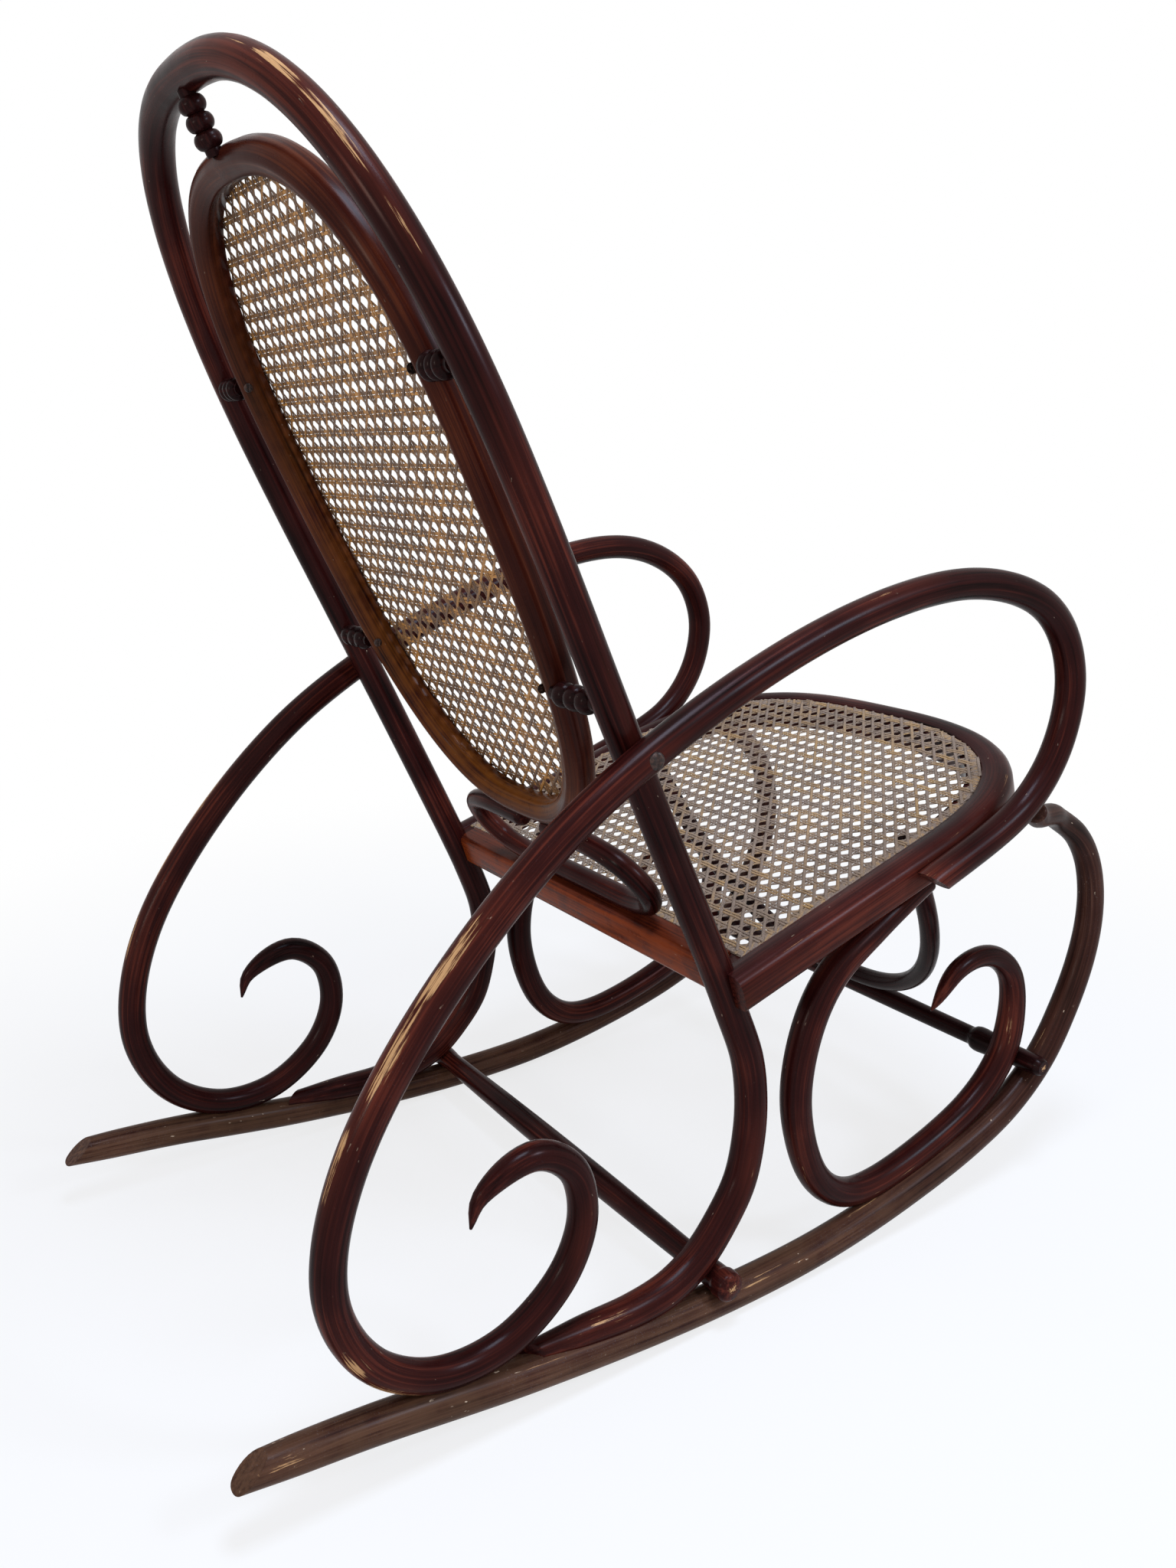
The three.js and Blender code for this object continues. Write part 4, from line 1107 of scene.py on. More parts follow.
ROCKER_WOOD = StainedWood(
    "rocker_wood",
    deep=(0.01, 0.003, 0.0022, 1.0),
    body=(0.036, 0.0105, 0.0072, 1.0),
    flush=(0.1, 0.04, 0.025, 1.0),
    glow=(0.17, 0.09, 0.045, 1.0),
    gloss=0.34,
    chips=0.9,
    dust=0.4,
)
OVAL_WOOD = StainedWood(
    "oval_wood",
    body=(0.036, 0.006, 0.0035, 1.0),
    flush=(0.1, 0.022, 0.008, 1.0),
    glow=(0.17, 0.052, 0.007, 1.0),
)
RAIL_WOOD = StainedWood(
    "rail_wood",
    body=(0.03, 0.0055, 0.005, 1.0),
    flush=(0.085, 0.0165, 0.011, 1.0),
    glow=(0.25, 0.042, 0.006, 1.0),
)
DARK_WOOD = StainedWood(
    "dark_wood",
    deep=(0.004, 0.0012, 0.0011, 1.0),
    body=(0.015, 0.0033, 0.003, 1.0),
    flush=(0.05, 0.01, 0.008, 1.0),
    chips=0.3,
)
GOLDEN_CANE = WovenCane(
    "back_cane", old=(0.14, 0.075, 0.04, 1.0), fresh=(0.55, 0.25, 0.055, 1.0), pale=(0.62, 0.42, 0.22, 1.0)
)


@dataclass
class Finishes:
    """The chair's finishes, each made once.

    Attributes:
        rod: Arms, hoop and scrolls.
        rocker: The greyer, more scuffed runners.
        oval: The frame of the back.
        rail: The seat's rails.
        dark: Near-black bows, beads and the front stretcher; on the front bow under the seat the near-black
            is partly painted shade over a darker stain.
        seat_cane: The seat's greyer cane.
        back_cane: The back's more golden cane.
        steel: Screws and bolts.
    """

    rod: Material = field(default_factory=StainedWood("rod_wood").build)
    rocker: Material = field(default_factory=ROCKER_WOOD.build)
    oval: Material = field(default_factory=OVAL_WOOD.build)
    rail: Material = field(default_factory=RAIL_WOOD.build)
    dark: Material = field(default_factory=DARK_WOOD.build)
    seat_cane: Material = field(default_factory=WovenCane("seat_cane").build)
    back_cane: Material = field(default_factory=GOLDEN_CANE.build)
    steel: Material = field(default_factory=DullSteel().build)


# Runners

REST_STEPS = 720  # steps of a centreline on which a place of rest is looked up


@dataclass
class Rockers:
    """The two runners.

    Attributes:
        shares: Their centreline, as shares of the chair's length and of their rise.
        taper: Their radius along the length, as shares of the full radius.
        warmth: How far the under-colour shows, by shares of the chair's length.
        wears: Worn patches.
        tip_bevel: Length of the slope on top of the rear tip.
    """

    shares: Rows = (
        (0.0132, 0.108), (0.124, 0.0945), (0.263, 0.06), (0.4, 0.0405), (0.5, 0.0395), (0.597, 0.055),
        (0.698, 0.097), (0.808, 0.169), (0.874, 0.239), (0.924, 0.338), (0.956, 0.458), (0.976, 0.572),
        (0.984, 0.677), (0.981, 0.771), (0.967, 0.861), (0.942, 0.935), (0.907, 0.987), (0.878, 1.0),
        (0.84, 1.0), (0.82, 1.01),
    )
    taper: Rows = ((0, 0.76), (0.03, 0.9), (0.12, 1), (0.6, 1), (0.8, 0.9), (1, 0.68))
    warmth: Rows = ((0, 0.4), (0.6, 0.35), (0.9, 0.05))
    wears: Sequence[Wear] = (
        Wear(0.024, (0.8, 0, 0.56), 0.03, 0.014, 0.75),
        Wear(0.203, (0.7, 0, 0.7), 0.09, 0.006, 0.8),
        Wear(0.368, (0.74, 0, 0.67), 0.06, 0.007, 0.85),
        Wear(0.49, (0.1, 0.2, 0.98), 0.07, 0.008, 0.75),
        Wear(0.62, (1, 0, -0.4), 0.09, 0.006, 0.7),
        Wear(0.717, (0.1, 0.83, 0.56), 0.05, 0.008, 0.75),
        Wear(0.86, (0.5, -1, 0.6), 0.07, 0.008, 0.7),
    )
    tip_bevel: float = 0.024

    def path(self, hand: Hand) -> Array:
        """The points of one runner's centreline."""
        return side_path(self.shares, hand.value * SIZES.runner_spacing / 2, SIZES.runner_rise)

    def radius(self, share: Array) -> Array:
        """Radius at a share of the length."""
        return SIZES.runner_diameter / 2 * lookup(self.taper, share)

    def over(self, x: float, forward: float, distance: float) -> Array:
        """A place above the left runner.

        Args:
            x: Distance across.
            forward: Distance in front of the rear tips.
            distance: Distance from the runner's centreline.

        Returns:
            The drawn point.
        """
        place = stand_off(spline(self.path(Hand.LEFT), REST_STEPS), forward, distance)
        place[0] = x
        return place

    def end_under(self, arm: Array, hand: Hand) -> Array:
        """Where a runner's front end lies, under the arm over it.

        Args:
            arm: The arm's centreline.
            hand: The side.

        Returns:
            The end of the runner's centreline.
        """
        gap = (SIZES.arm_diameter + SIZES.runner_diameter * self.taper[-1][1]) / 2 - SIZES.bite
        end = stand_off(arm, self.shares[-1][0] * SIZES.length, -gap)
        end[0] -= hand.value * SIZES.bite
        return end

    def make(self, finishes: Finishes, arms: Arms) -> None:
        """Builds both runners.

        Args:
            finishes: The chair's finishes.
            arms: The arms that the runners end under.
        """
        for hand in Hand:
            path = self.path(hand)
            arm = spline(arms.path(hand, self), REST_STEPS)
            pin(path, len(path) - 1, self.end_under(arm, hand), 3)
            rod = Rod(path, ACROSS, self.radius, self.wears, hand.value)
            slope = Cut.tip_slope(rod, 0, self.tip_bevel, SIZES.runner_diameter / 2)
            shell = rod.shell()
            shell.glow = lookup(self.warmth, -shell.points[:, 1] / SIZES.length)
            name = f"runner_{hand.word}"
            piece(f"bent_{name}", shell, finishes.rocker, name, [slope])


# Arms


@dataclass
class Arms:
    """The two arms, each one rod from the seat over the leg to a scroll on the runner.

    Attributes:
        shares: Their centreline, as shares of the chair's length and of their height.
        taper: How far the radius lies from the slim tip's to the full one.
        overs: How far each point stands over from the seat's side to the leg's side.
        wears: Worn patches.
        tip_diameter: Thickness that the taper's 0 stands for.
        hook: Length of the scroll's slim end.
        seat_share: Where an arm meets the seat, of the way from its rear to its front.
        drop_share: How deep it meets it, as a share of the rail's thickness.
        overshoot: How far it is drawn past the seat, of its first step, for the bevel to cut.
        end_bevel: Angle of the bevel on that end.
    """

    shares: Rows = (
        (0.696, 0.598), (0.816, 0.678), (0.857, 0.755), (0.866, 0.845), (0.844, 0.925), (0.795, 0.978),
        (0.704, 1.0), (0.525, 0.934), (0.274, 0.725), (0.115, 0.433), (0.0865, 0.248), (0.117, 0.137),
        (0.172, 0.084), (0.236, 0.091), (0.29, 0.15), (0.312, 0.223), (0.307, 0.292), (0.288, 0.325),
        (0.265, 0.339), (0.239, 0.33), (0.2155, 0.302), (0.2115, 0.27),
    )
    taper: Rows = ((0, 1.08), (0.2, 1.04), (0.6, 1), (0.85, 0.93), (0.95, 0.84), (1, 0.3))
    overs: Sequence[float] = (0, 0, 0, 0, 0, 0, 0.5, 1, 1)
    wears: Sequence[Wear] = (
        Wear(0.01, (0.55, 0.3, 0.8), 0.025, 0.012, 0.85),
        Wear(0.17, (0.3, -1, 0.4), 0.05, 0.006, 0.55),
        Wear(0.322, (0.6, 0.2, 0.8), 0.06, 0.006, 0.6),
        Wear(0.4, (-0.3, 0.3, 1), 0.09, 0.006, 0.5),
        Wear(0.464, (1, 0.04, 0.1), 0.03, 0.008, 0.6),
        Wear(0.585, (0.3, 0.74, 0.62), 0.06, 0.009, 1.25),
        Wear(0.63, (0.4, 0.75, 0.5), 0.06, 0.008, 1.25),
        Wear(0.668, (0.1, 0.9, 0.4), 0.045, 0.008, 1.15),
        Wear(0.76, (0.84, 0.42, -0.34), 0.025, 0.008, 1.1),
        Wear(0.785, (0.6, 0.4, -0.7), 0.035, 0.011, 1.25),
        Wear(0.9, (0.95, 0.3, 0.1), 0.05, 0.008, 0.7),
    )
    tip_diameter: float = 0.013
    hook: float = 0.08
    seat_share: float = 0.467
    drop_share: float = 0.55
    overshoot: float = 0.25
    end_bevel: float = math.radians(50)

    def at_seat(self, x: float) -> Array:
        """Where an arm meets the seat's side, at a distance across."""
        drop = self.drop_share * SIZES.seat_thickness
        return SIZES.seat_point(x, self.seat_share * SIZES.seat_depth, -drop)

    def path(self, hand: Hand, rockers: Rockers) -> Array:
        """The points of one arm's centreline.

        Args:
            hand: The side.
            rockers: The runners that the arms rest on.

        Returns:
            The drawn points.
        """
        radius = SIZES.arm_diameter / 2
        crossing = SIZES.leg_spacing / 2 + SIZES.hoop_diameter / 2 + radius - SIZES.bite
        rest = SIZES.runner_spacing / 2
        half = SIZES.seat_half(self.seat_share * SIZES.seat_depth)
        front = half + radius * self.taper[0][1] - SIZES.bite
        x = np.full(len(self.shares), rest)
        x[: len(self.overs)] = front + (crossing - front) * np.asarray(self.overs)
        x[len(self.overs)] = (crossing + rest) / 2
        path = side_path(self.shares, x, SIZES.arm_height)
        path = np.vstack([path[0] + self.overshoot * (path[0] - path[1]), path])
        pin(path, 1, self.at_seat(front), 3)
        low = int(np.argmin(path[:, 2]))
        touch = (SIZES.runner_diameter + SIZES.arm_diameter) / 2 - 2 * SIZES.bite
        pin(path, low, rockers.over(rest, -path[low][1], touch), 4)
        path[:, 0] *= hand.value
        return path

    def radius(self, share: Array) -> Array:
        """Radius at a share of the length."""
        slim = self.tip_diameter / 2
        return slim + (SIZES.arm_diameter / 2 - slim) * lookup(self.taper, share)

    def make(self, finishes: Finishes, rockers: Rockers) -> None:
        """Builds both arms.

        Args:
            finishes: The chair's finishes.
            rockers: The runners that they rest on.
        """
        outward = -math.sin(self.end_bevel) * SIZES.seat_forward - math.cos(self.end_bevel) * SIZES.seat_up
        for hand in Hand:
            path = self.path(hand, rockers)
            rod = Rod(path, ACROSS, self.radius, self.wears, hand.value, hook=self.hook)
            bevel = Cut(self.at_seat(hand.value * SIZES.seat_half(0.0)), outward)
            name = f"arm_{hand.word}"
            piece(f"bent_{name}", rod.shell(), finishes.rod, name, [bevel])


# Front scrolls


@dataclass
class FrontScrolls:
    """The two scrolls between the runners and the seat.

    Attributes:
        shares: Their centreline, as shares of the chair's length and of the runners' rise.
        taper: How far the radius lies from the top's to the full one.
        wears: Worn patches.
        diameter: Full thickness.
        top_diameter: Thickness under the seat.
        hook: Length of the slim end.
        spacing: Distance between the two.
        top_share: Where a scroll ends under the seat, of the way from its rear to its front.
        top_inset: How far it ends inside the seat's outline.
        rest_share: Where it rests on the runner, as a share of the chair's length.
    """

    shares: Rows = (
        (0.72, 0.888), (0.657, 0.81), (0.6, 0.722), (0.572, 0.604), (0.565, 0.433), (0.595, 0.241),
        (0.636, 0.164), (0.688, 0.154), (0.825, 0.261), (0.872, 0.373), (0.88, 0.5), (0.868, 0.592),
        (0.84, 0.647), (0.809, 0.659), (0.778, 0.634), (0.75, 0.55),
    )
    taper: Rows = ((0, 0), (0.14, 1.1), (0.3, 1), (0.5, 0.86), (0.75, 1), (0.88, 0.3), (1, -0.5))
    wears: Sequence[Wear] = (
        Wear(0.144, (-0.2, 0.67, 0.72), 0.04, 0.007, 0.7),
        Wear(0.36, (0.5, 1, 0.2), 0.08, 0.006, 0.65),
        Wear(0.514, (1, 0, 0.25), 0.06, 0.007, 0.75),
        Wear(0.774, (0.6, 0.8, 0.06), 0.04, 0.008, 0.75),
    )
    diameter: float = 0.029
    top_diameter: float = 0.02
    hook: float = 0.06
    spacing: float = 0.48
    top_share: float = 0.514
    top_inset: float = 0.019
    rest_share: float = 0.688

    def path(self, hand: Hand, rockers: Rockers) -> Array:
        """The points of one scroll's centreline.

        Args:
            hand: The side.
            rockers: The runners that the scrolls rest on.

        Returns:
            The drawn points.
        """
        path = side_path(self.shares, self.spacing / 2, SIZES.runner_rise)
        along = self.top_share * SIZES.seat_depth
        under = -SIZES.seat_thickness - self.top_diameter / 2 + SIZES.bite
        pin(path, 0, SIZES.seat_point(SIZES.seat_half(along) - self.top_inset, along, under), 2)
        low = int(np.argmin(path[:, 2]))
        touch = (SIZES.runner_diameter + self.diameter * float(lookup(self.taper, 0.5))) / 2 - 2 * SIZES.bite
        over = math.sqrt(touch**2 - ((SIZES.runner_spacing - self.spacing) / 2) ** 2)
        pin(path, low, rockers.over(self.spacing / 2, self.rest_share * SIZES.length, over), 4)
        path[:, 0] *= hand.value
        return path

    def radius(self, share: Array) -> Array:
        """Radius at a share of the length."""
        slim = self.top_diameter / 2
        return slim + (self.diameter / 2 - slim) * lookup(self.taper, share)

    def make(self, finishes: Finishes, rockers: Rockers) -> None:
        """Builds both scrolls.

        Args:
            finishes: The chair's finishes.
            rockers: The runners that they rest on.
        """
        for hand in Hand:
            path = self.path(hand, rockers)
            rod = Rod(path, ACROSS, self.radius, self.wears, hand.value, hook=self.hook)
            name = f"front_scroll_{hand.word}"
            piece(f"bent_{name}", rod.shell(), finishes.rod, name)


# Hoop and legs


@dataclass
class BackHoop:
    """The hoop and both rear legs, one rod.

    Attributes:
        taper: Radius along one half, as shares of the full radius.
        straight: Rows of how far down to the seat and in to the legs.
        bow: The legs' bow below the seat, as shares of length ahead of it and of its height.
        tail: Places on the runner, and how much of the scarf is sunk there.
        wears: Worn patches.
        scarf: Depth of the scarf.
        tail_inset: From the runner's centreline in to the leg's.
        tip_bevel: Length of the slope on each leg's end.
        arch_steps: Points of one half of the arch.
    """

    taper: Rows = ((0, 1), (0.55, 1), (0.9, 1.08), (0.955, 0.95), (1, 0.5))
    straight: Rows = ((0, 0), (0.33, 0.5), (0.67, 1), (1, 1))
    bow: Rows = (
        (0.02, 0.872), (0.04, 0.722), (0.0455, 0.603), (0.0434, 0.494), (0.033, 0.369), (0.011, 0.272),
        (-0.018, 0.187),
    )
    tail: Rows = ((0.41, 0.12), (0.37, 0.8), (0.318, 1), (0.252, 1.2))
    wears: Sequence[Wear] = (
        Wear(0.519, (0.12, 0.85, 0.51), 0.012, 0.008, 0.8),
        Wear(0.462, (-0.3, 0.6, 0.7), 0.03, 0.005, 0.7),
        Wear(0.446, (-0.57, 0.45, 0.6), 0.05, 0.007, 1.15),
        Wear(0.426, (-0.75, 0.45, 0.45), 0.06, 0.008, 1.2),
        Wear(0.402, (-0.91, 0.36, 0.22), 0.04, 0.005, 0.85),
        Wear(0.34, (-0.9, 0.5, 0.2), 0.05, 0.006, 0.6),
        Wear(0.27, (-1, 0.2, 0.5), 0.06, 0.004, 0.55),
        Wear(0.104, (-0.95, 0.3, 0.13), 0.05, 0.008, 0.75),
        Wear(0.026, (-0.7, 0, 0.72), 0.05, 0.008, 0.85),
        Wear(0.97, (0.7, 0, 0.72), 0.05, 0.008, 0.8),
        Wear(0.57, (0.8, 0.4, 0.5), 0.06, 0.006, 0.7),
    )
    scarf: float = 0.012
    tail_inset: float = 0.003
    tip_bevel: float = 0.026
    arch_steps: int = 8

    def half_path(self, rockers: Rockers) -> Array:
        """The points of one half's centreline, from the crown down the left side.

        Args:
            rockers: The runners that the legs stand on.

        Returns:
            The drawn points.
        """
        rise = SIZES.lean_length * SIZES.hoop_arch_share
        power = 2 / SIZES.hoop_roundness
        angle = math.pi / 2 * (1 - np.arange(self.arch_steps) / self.arch_steps)
        x = SIZES.hoop_width / 2 * np.cos(angle).clip(0) ** power
        arch = SIZES.back_point(x, rise * (1 - np.sin(angle) ** power))
        rows = np.asarray(self.straight)
        x = (SIZES.hoop_width + (SIZES.leg_spacing - SIZES.hoop_width) * rows[:, 1]) / 2
        straight = SIZES.back_point(x, rise + (SIZES.lean_length - rise) * rows[:, 0])
        leg = SIZES.leg_spacing / 2
        foot = SIZES.runner_spacing / 2 - self.tail_inset
        x = leg + (foot - leg) * np.arange(len(self.bow)) / len(self.bow)
        bow = side_path(self.bow, x, SIZES.seat_rear_height)
        bow[:, 1] += SIZES.leg_at_seat[1]
        touch = (SIZES.runner_diameter + SIZES.hoop_diameter) / 2
        tail = [rockers.over(foot, at * SIZES.length, touch - self.scarf * sunk) for at, sunk in self.tail]
        return np.vstack([arch, straight, bow, tail])

    def radius(self, share: Array) -> Array:
        """Radius at a share of one half's length."""
        return SIZES.hoop_diameter / 2 * lookup(self.taper, share)

    def make(self, finishes: Finishes, rockers: Rockers) -> None:
        """Builds the rod.

        Args:
            finishes: The chair's finishes.
            rockers: The runners that the legs stand on.
        """
        rod = Rod(self.half_path(rockers), SIZES.lean_forward, self.radius, self.wears).mirrored()
        slopes = [Cut.tip_slope(rod, end, self.tip_bevel, SIZES.hoop_diameter / 2) for end in (0, -1)]
        piece("bent_back_hoop", rod.shell(), finishes.rod, "back_hoop", slopes)


# Woven panels


@dataclass(frozen=True)
class Panel:
    """The outline and weave of a woven panel, laid out in its own plane.

    Attributes:
        name: The panel's name.
        node: The CAD node that it stands for.
        frame: Matrix from the panel's plane to where it is drawn.
        half: Half its width.
        low: Where it starts, along its length.
        low_rise: Length over which it widens there.
        low_roundness: Power of that end's outline.
        high: Where it ends.
        high_rise: Length over which it narrows there.
        high_roundness: Power of that end's outline.
        pitch: Distance between gaps, across and along.
        pair_gap: Distance between the two strands of a pair.
        width: Width of a strand of the square lay.
        slant: Width of a slanting strand.
        tones: Tone of the strands across, along and slanting.
        thickness: Thickness of a strand.
        wave: How far a strand rises over what it crosses.
    """

    name: str
    node: str
    frame: Matrix
    half: float
    low: float
    low_rise: float
    low_roundness: float
    high: float
    high_rise: float
    high_roundness: float
    pitch: tuple[float, float]
    pair_gap: float
    width: float
    slant: float
    tones: Place
    thickness: float = 0.0006
    wave: float = 0.0004

    # Inputs that a layer's tree hands on to its families
    SHARED = (
        "Half Width", "Low", "Low Rise", "Low Roundness", "High", "High Rise", "High Roundness",
        "Strand Width", "Strand Thickness", "Wave",
    )

    def values(self, lay: Lay) -> dict[str, float]:
        """The inputs of a layer's tree.

        Args:
            lay: Which layer.

        Returns:
            Their values by name.
        """
        outline = (self.half, self.low, self.low_rise, self.low_roundness, self.high, self.high_rise)
        width = self.width if lay is Lay.SQUARE else self.slant
        shared = dict(zip(self.SHARED, (*outline, self.high_roundness, width, self.thickness, self.wave)))
        across, along = self.pitch
        return shared | {"Pitch Across": across, "Pitch Along": along, "Pair Gap": self.pair_gap}


class Weave:
    """Makes panels of cane woven in four directions, as node trees."""

    # What each family is given by its own row, in order, with the kind of input
    FAMILY = {
        "Step": "Vector", "Run": "Vector", "Offset": "Vector", "Pair": "Vector", "Period": "Float",
        "Level": "Float", "Tone": "Float",
    }
    STRANDS = 91
    STRAND_POINTS = 261
    STRAND_REACH = 1.1  # length of a strand before it is clipped
    LEVEL_SHARE = 0.3  # height of the square lay's strands over the middle, of a strand's thickness
    SLANT_LEVEL = 1.6  # height of the slanting strands, in heights of the square lay's
    DRIFT = 0.0022  # how far strands wander sideways
    PROFILE_CORNERS = 6

    def __init__(self) -> None:
        """Makes the tree that both panels share."""
        self.family = self.family_tree()

    def arch(self, g: Graph, half: Socket, rise: Socket, roundness: Socket, drop: Socket) -> Socket:
        """Nodes for half the width of an arch at a drop below its crown.

        Args:
            g: The tree that gets them.
            half: Half the width at the foot of the arch.
            rise: Height of the arch.
            roundness: Power of the rounded outline.
            drop: Distance below the crown.

        Returns:
            Half the width there.
        """
        left = g.get("ShaderNodeClamp", {0: g.math("DIVIDE", g.minus(rise, drop), rise)})
        full = g.minus(1.0, g.math("POWER", left, roundness))
        return g.times(half, g.math("POWER", full, g.math("DIVIDE", 1.0, roundness)))

    def lines(self, g: Graph, given: Outputs) -> Socket:
        """Nodes for straight lines, all along Y and one apart, with strand and tone at each point.

        Args:
            g: The tree that gets them.
            given: The tree's inputs.

        Returns:
            The lines.
        """
        sizes = {"Size X": g.minus(given["Count"], 1.0), "Size Y": given["Reach"]}
        grid = g.get(
            "GeometryNodeMeshGrid", sizes | {"Vertices X": given["Count"], "Vertices Y": given["Points"]}
        )
        ends = g.add("GeometryNodeInputMeshEdgeVertices").outputs
        edge = g.vector("SUBTRACT", ends["Position 1"], ends["Position 2"])
        sideways = g.math("ABSOLUTE", g.split(edge)[0])
        across = g.get("FunctionNodeCompare", {0: sideways, 1: 0.5}, operation="GREATER_THAN")
        chosen = {"Geometry": grid, "Selection": across}
        strands = g.get("GeometryNodeDeleteGeometry", chosen, domain="EDGE", mode="EDGE_FACE")
        number, along, _ = g.split(g.get("GeometryNodeInputPosition"))
        code = g.join(along, number, given["Lift"])
        for name, kind, value in (("strand", "FLOAT_VECTOR", code), ("tone", "FLOAT", given["Tone"])):
            inputs = {"Geometry": strands, "Name": name, "Value": value}
            strands = g.get("GeometryNodeStoreNamedAttribute", inputs, data_type=kind, domain="POINT")
        return strands

    def laid(self, g: Graph, given: Outputs, strands: Socket) -> Socket:
        """Nodes that lay the lines as waving, wandering strands, in pairs if wanted.

        Args:
            g: The tree that gets them.
            given: The tree's inputs.
            strands: The lines.

        Returns:
            The laid lines.
        """
        number, along, _ = g.split(g.get("GeometryNodeInputPosition"))
        phase = g.times(g.plus(g.math("DIVIDE", along, given["Period"]), number), math.pi)
        height = g.plus(given["Level"], g.times(given["Wave"], g.math("COSINE", phase)))
        wander = g.noise(g.join(g.times(number, 3.7), g.times(along, 14.0)), 1.0, 2.0)
        drift = g.times(g.minus(wander, 0.5), self.DRIFT)
        lay, run = g.scaled(given["Step"], number), g.scaled(given["Run"], along)
        aside = g.scaled(g.vector("NORMALIZE", given["Step"]), drift)
        shift = g.vector("ADD", given["Offset"], g.vector("ADD", aside, g.join(0.0, 0.0, height)))
        place = g.vector("ADD", g.vector("ADD", lay, run), shift)
        strands = g.get("GeometryNodeSetPosition", {"Geometry": strands, "Position": place})
        first, second = (
            g.get("GeometryNodeTransform", {0: strands, "Translation": g.scaled(given["Pair"], half)})
            for half in (0.5, -0.5)
        )
        chosen = {"Switch": given["Paired"], "True": second}
        return g.joined([first, g.get("GeometryNodeSwitch", chosen, input_type="GEOMETRY")])

    def family_tree(self) -> Tree:
        """A tree that lays one family of parallel strands inside an outline.

        Returns:
            The node tree.
        """
        g = Graph.group("cane_strand_family")
        kinds = {"Paired": "Bool", "Count": "Int", "Points": "Int", "Reach": "Float", "Lift": "Float"}
        for name, kind in (self.FAMILY | kinds | dict.fromkeys(Panel.SHARED, "Float")).items():
            g.input(name, kind)
        given = g.add("NodeGroupInput").outputs
        laid = self.laid(g, given, self.lines(g, given))
        x, y, _ = g.split(g.get("GeometryNodeInputPosition"))
        drops = {"Low": g.minus(y, given["Low"]), "High": g.minus(given["High"], y)}
        low, high = (
            self.arch(g, given["Half Width"], given[f"{end} Rise"], given[f"{end} Roundness"], drop)
            for end, drop in drops.items()
        )
        sides = {0: g.math("ABSOLUTE", x), 1: g.math("MINIMUM", low, high)}
        outside = g.get("FunctionNodeCompare", sides, operation="GREATER_EQUAL")
        kept = g.get("GeometryNodeDeleteGeometry", {"Geometry": laid, "Selection": outside}, domain="POINT")
        curves = g.get("GeometryNodeMeshToCurve", {"Mesh": kept})
        curves = g.get("GeometryNodeSetCurveNormal", {"Curve": curves}, mode="Z_UP")
        ring = {"Resolution": self.PROFILE_CORNERS, "Radius": 0.5}
        circle = g.get("GeometryNodeCurvePrimitiveCircle", ring)
        size = g.join(given["Strand Width"], given["Strand Thickness"], 1.0)
        profile = g.get("GeometryNodeTransform", {0: circle, "Scale": size})
        tube = {"Curve": curves, "Profile Curve": profile, "Fill Caps": True}
        g.add("NodeGroupOutput", {0: g.get("GeometryNodeCurveToMesh", tube)})
        return g.tree

    def rows(self, g: Graph, given: Outputs, panel: Panel, lay: Lay) -> list[tuple[object, ...]]:
        """The two families of a layer.

        Args:
            g: The layer's tree.
            given: The tree's inputs.
            panel: The panel.
            lay: Which layer.

        Returns:
            A row for each family, in the order of FAMILY.
        """
        wide, long, gap = given["Pitch Across"], given["Pitch Along"], given["Pair Gap"]
        middle = g.times(g.plus(given["Low"], given["High"]), 0.5)
        level = panel.thickness * self.LEVEL_SHARE
        across, along, slanting = panel.tones
        if lay is Lay.SQUARE:
            start = g.join(0.0, middle)
            return [
                (g.join(0.0, long), (1.0, 0.0, 0.0), start, g.join(0.0, gap), wide, level, across),
                (g.join(wide, 0.0), (0.0, 1.0, 0.0), start, g.join(gap, 0.0), long, -level, along),
            ]
        slant = g.math("SQRT", g.plus(g.times(wide, wide), g.times(long, long)))
        rise, flat = g.math("DIVIDE", long, slant), g.math("DIVIDE", wide, slant)
        step, start, level = g.join(wide, 0.0), g.join(g.times(wide, 0.5), middle), level * self.SLANT_LEVEL
        return [
            (step, g.join(flat, rise), start, (0.0, 0.0, 0.0), slant, level, slanting),
            (step, g.join(g.times(flat, -1.0), rise), start, (0.0, 0.0, 0.0), slant, -level, slanting),
        ]

    def panel_tree(self, panel: Panel, lay: Lay) -> tuple[Tree, dict[str, str]]:
        """A tree that joins the strand families of one layer of a panel.

        Args:
            panel: The panel.
            lay: Which layer.

        Returns:
            The tree, and the identifiers of its inputs by name.
        """
        g = Graph.group(f"{panel.name}_{lay.value}_weave")
        ids = {name: g.input(name) for name in panel.values(lay)}
        ids["Finish"] = g.input("Finish", "Material")
        given = g.add("NodeGroupInput").outputs
        counts = {"Count": self.STRANDS, "Points": self.STRAND_POINTS, "Reach": self.STRAND_REACH}
        families = []
        for number, row in enumerate(self.rows(g, given, panel, lay)):
            values = dict(zip(self.FAMILY, row)) | counts | {name: given[name] for name in Panel.SHARED}
            values |= {"Lift": float(number), "Paired": lay is Lay.SQUARE}
            families.append(g.get("GeometryNodeGroup", values, node_tree=self.family))
        g.dress(g.joined(families), given["Finish"])
        return g.tree, ids

    def make(self, panel: Panel, cane: Material) -> None:
        """Builds both layers of a panel.

        Args:
            panel: The panel.
            cane: The strands' finish.
        """
        for lay in Lay:
            tree, ids = self.panel_tree(panel, lay)
            values = {ids[key]: value for key, value in panel.values(lay).items()}
            name = f"{panel.name}_{lay.value}"
            mesh = grow(name, tree, values | {ids["Finish"]: cane})
            mesh.transform(STANCE.matrix() @ panel.frame)
            mesh.shade_smooth()
            settle(name, mesh, [panel.node])


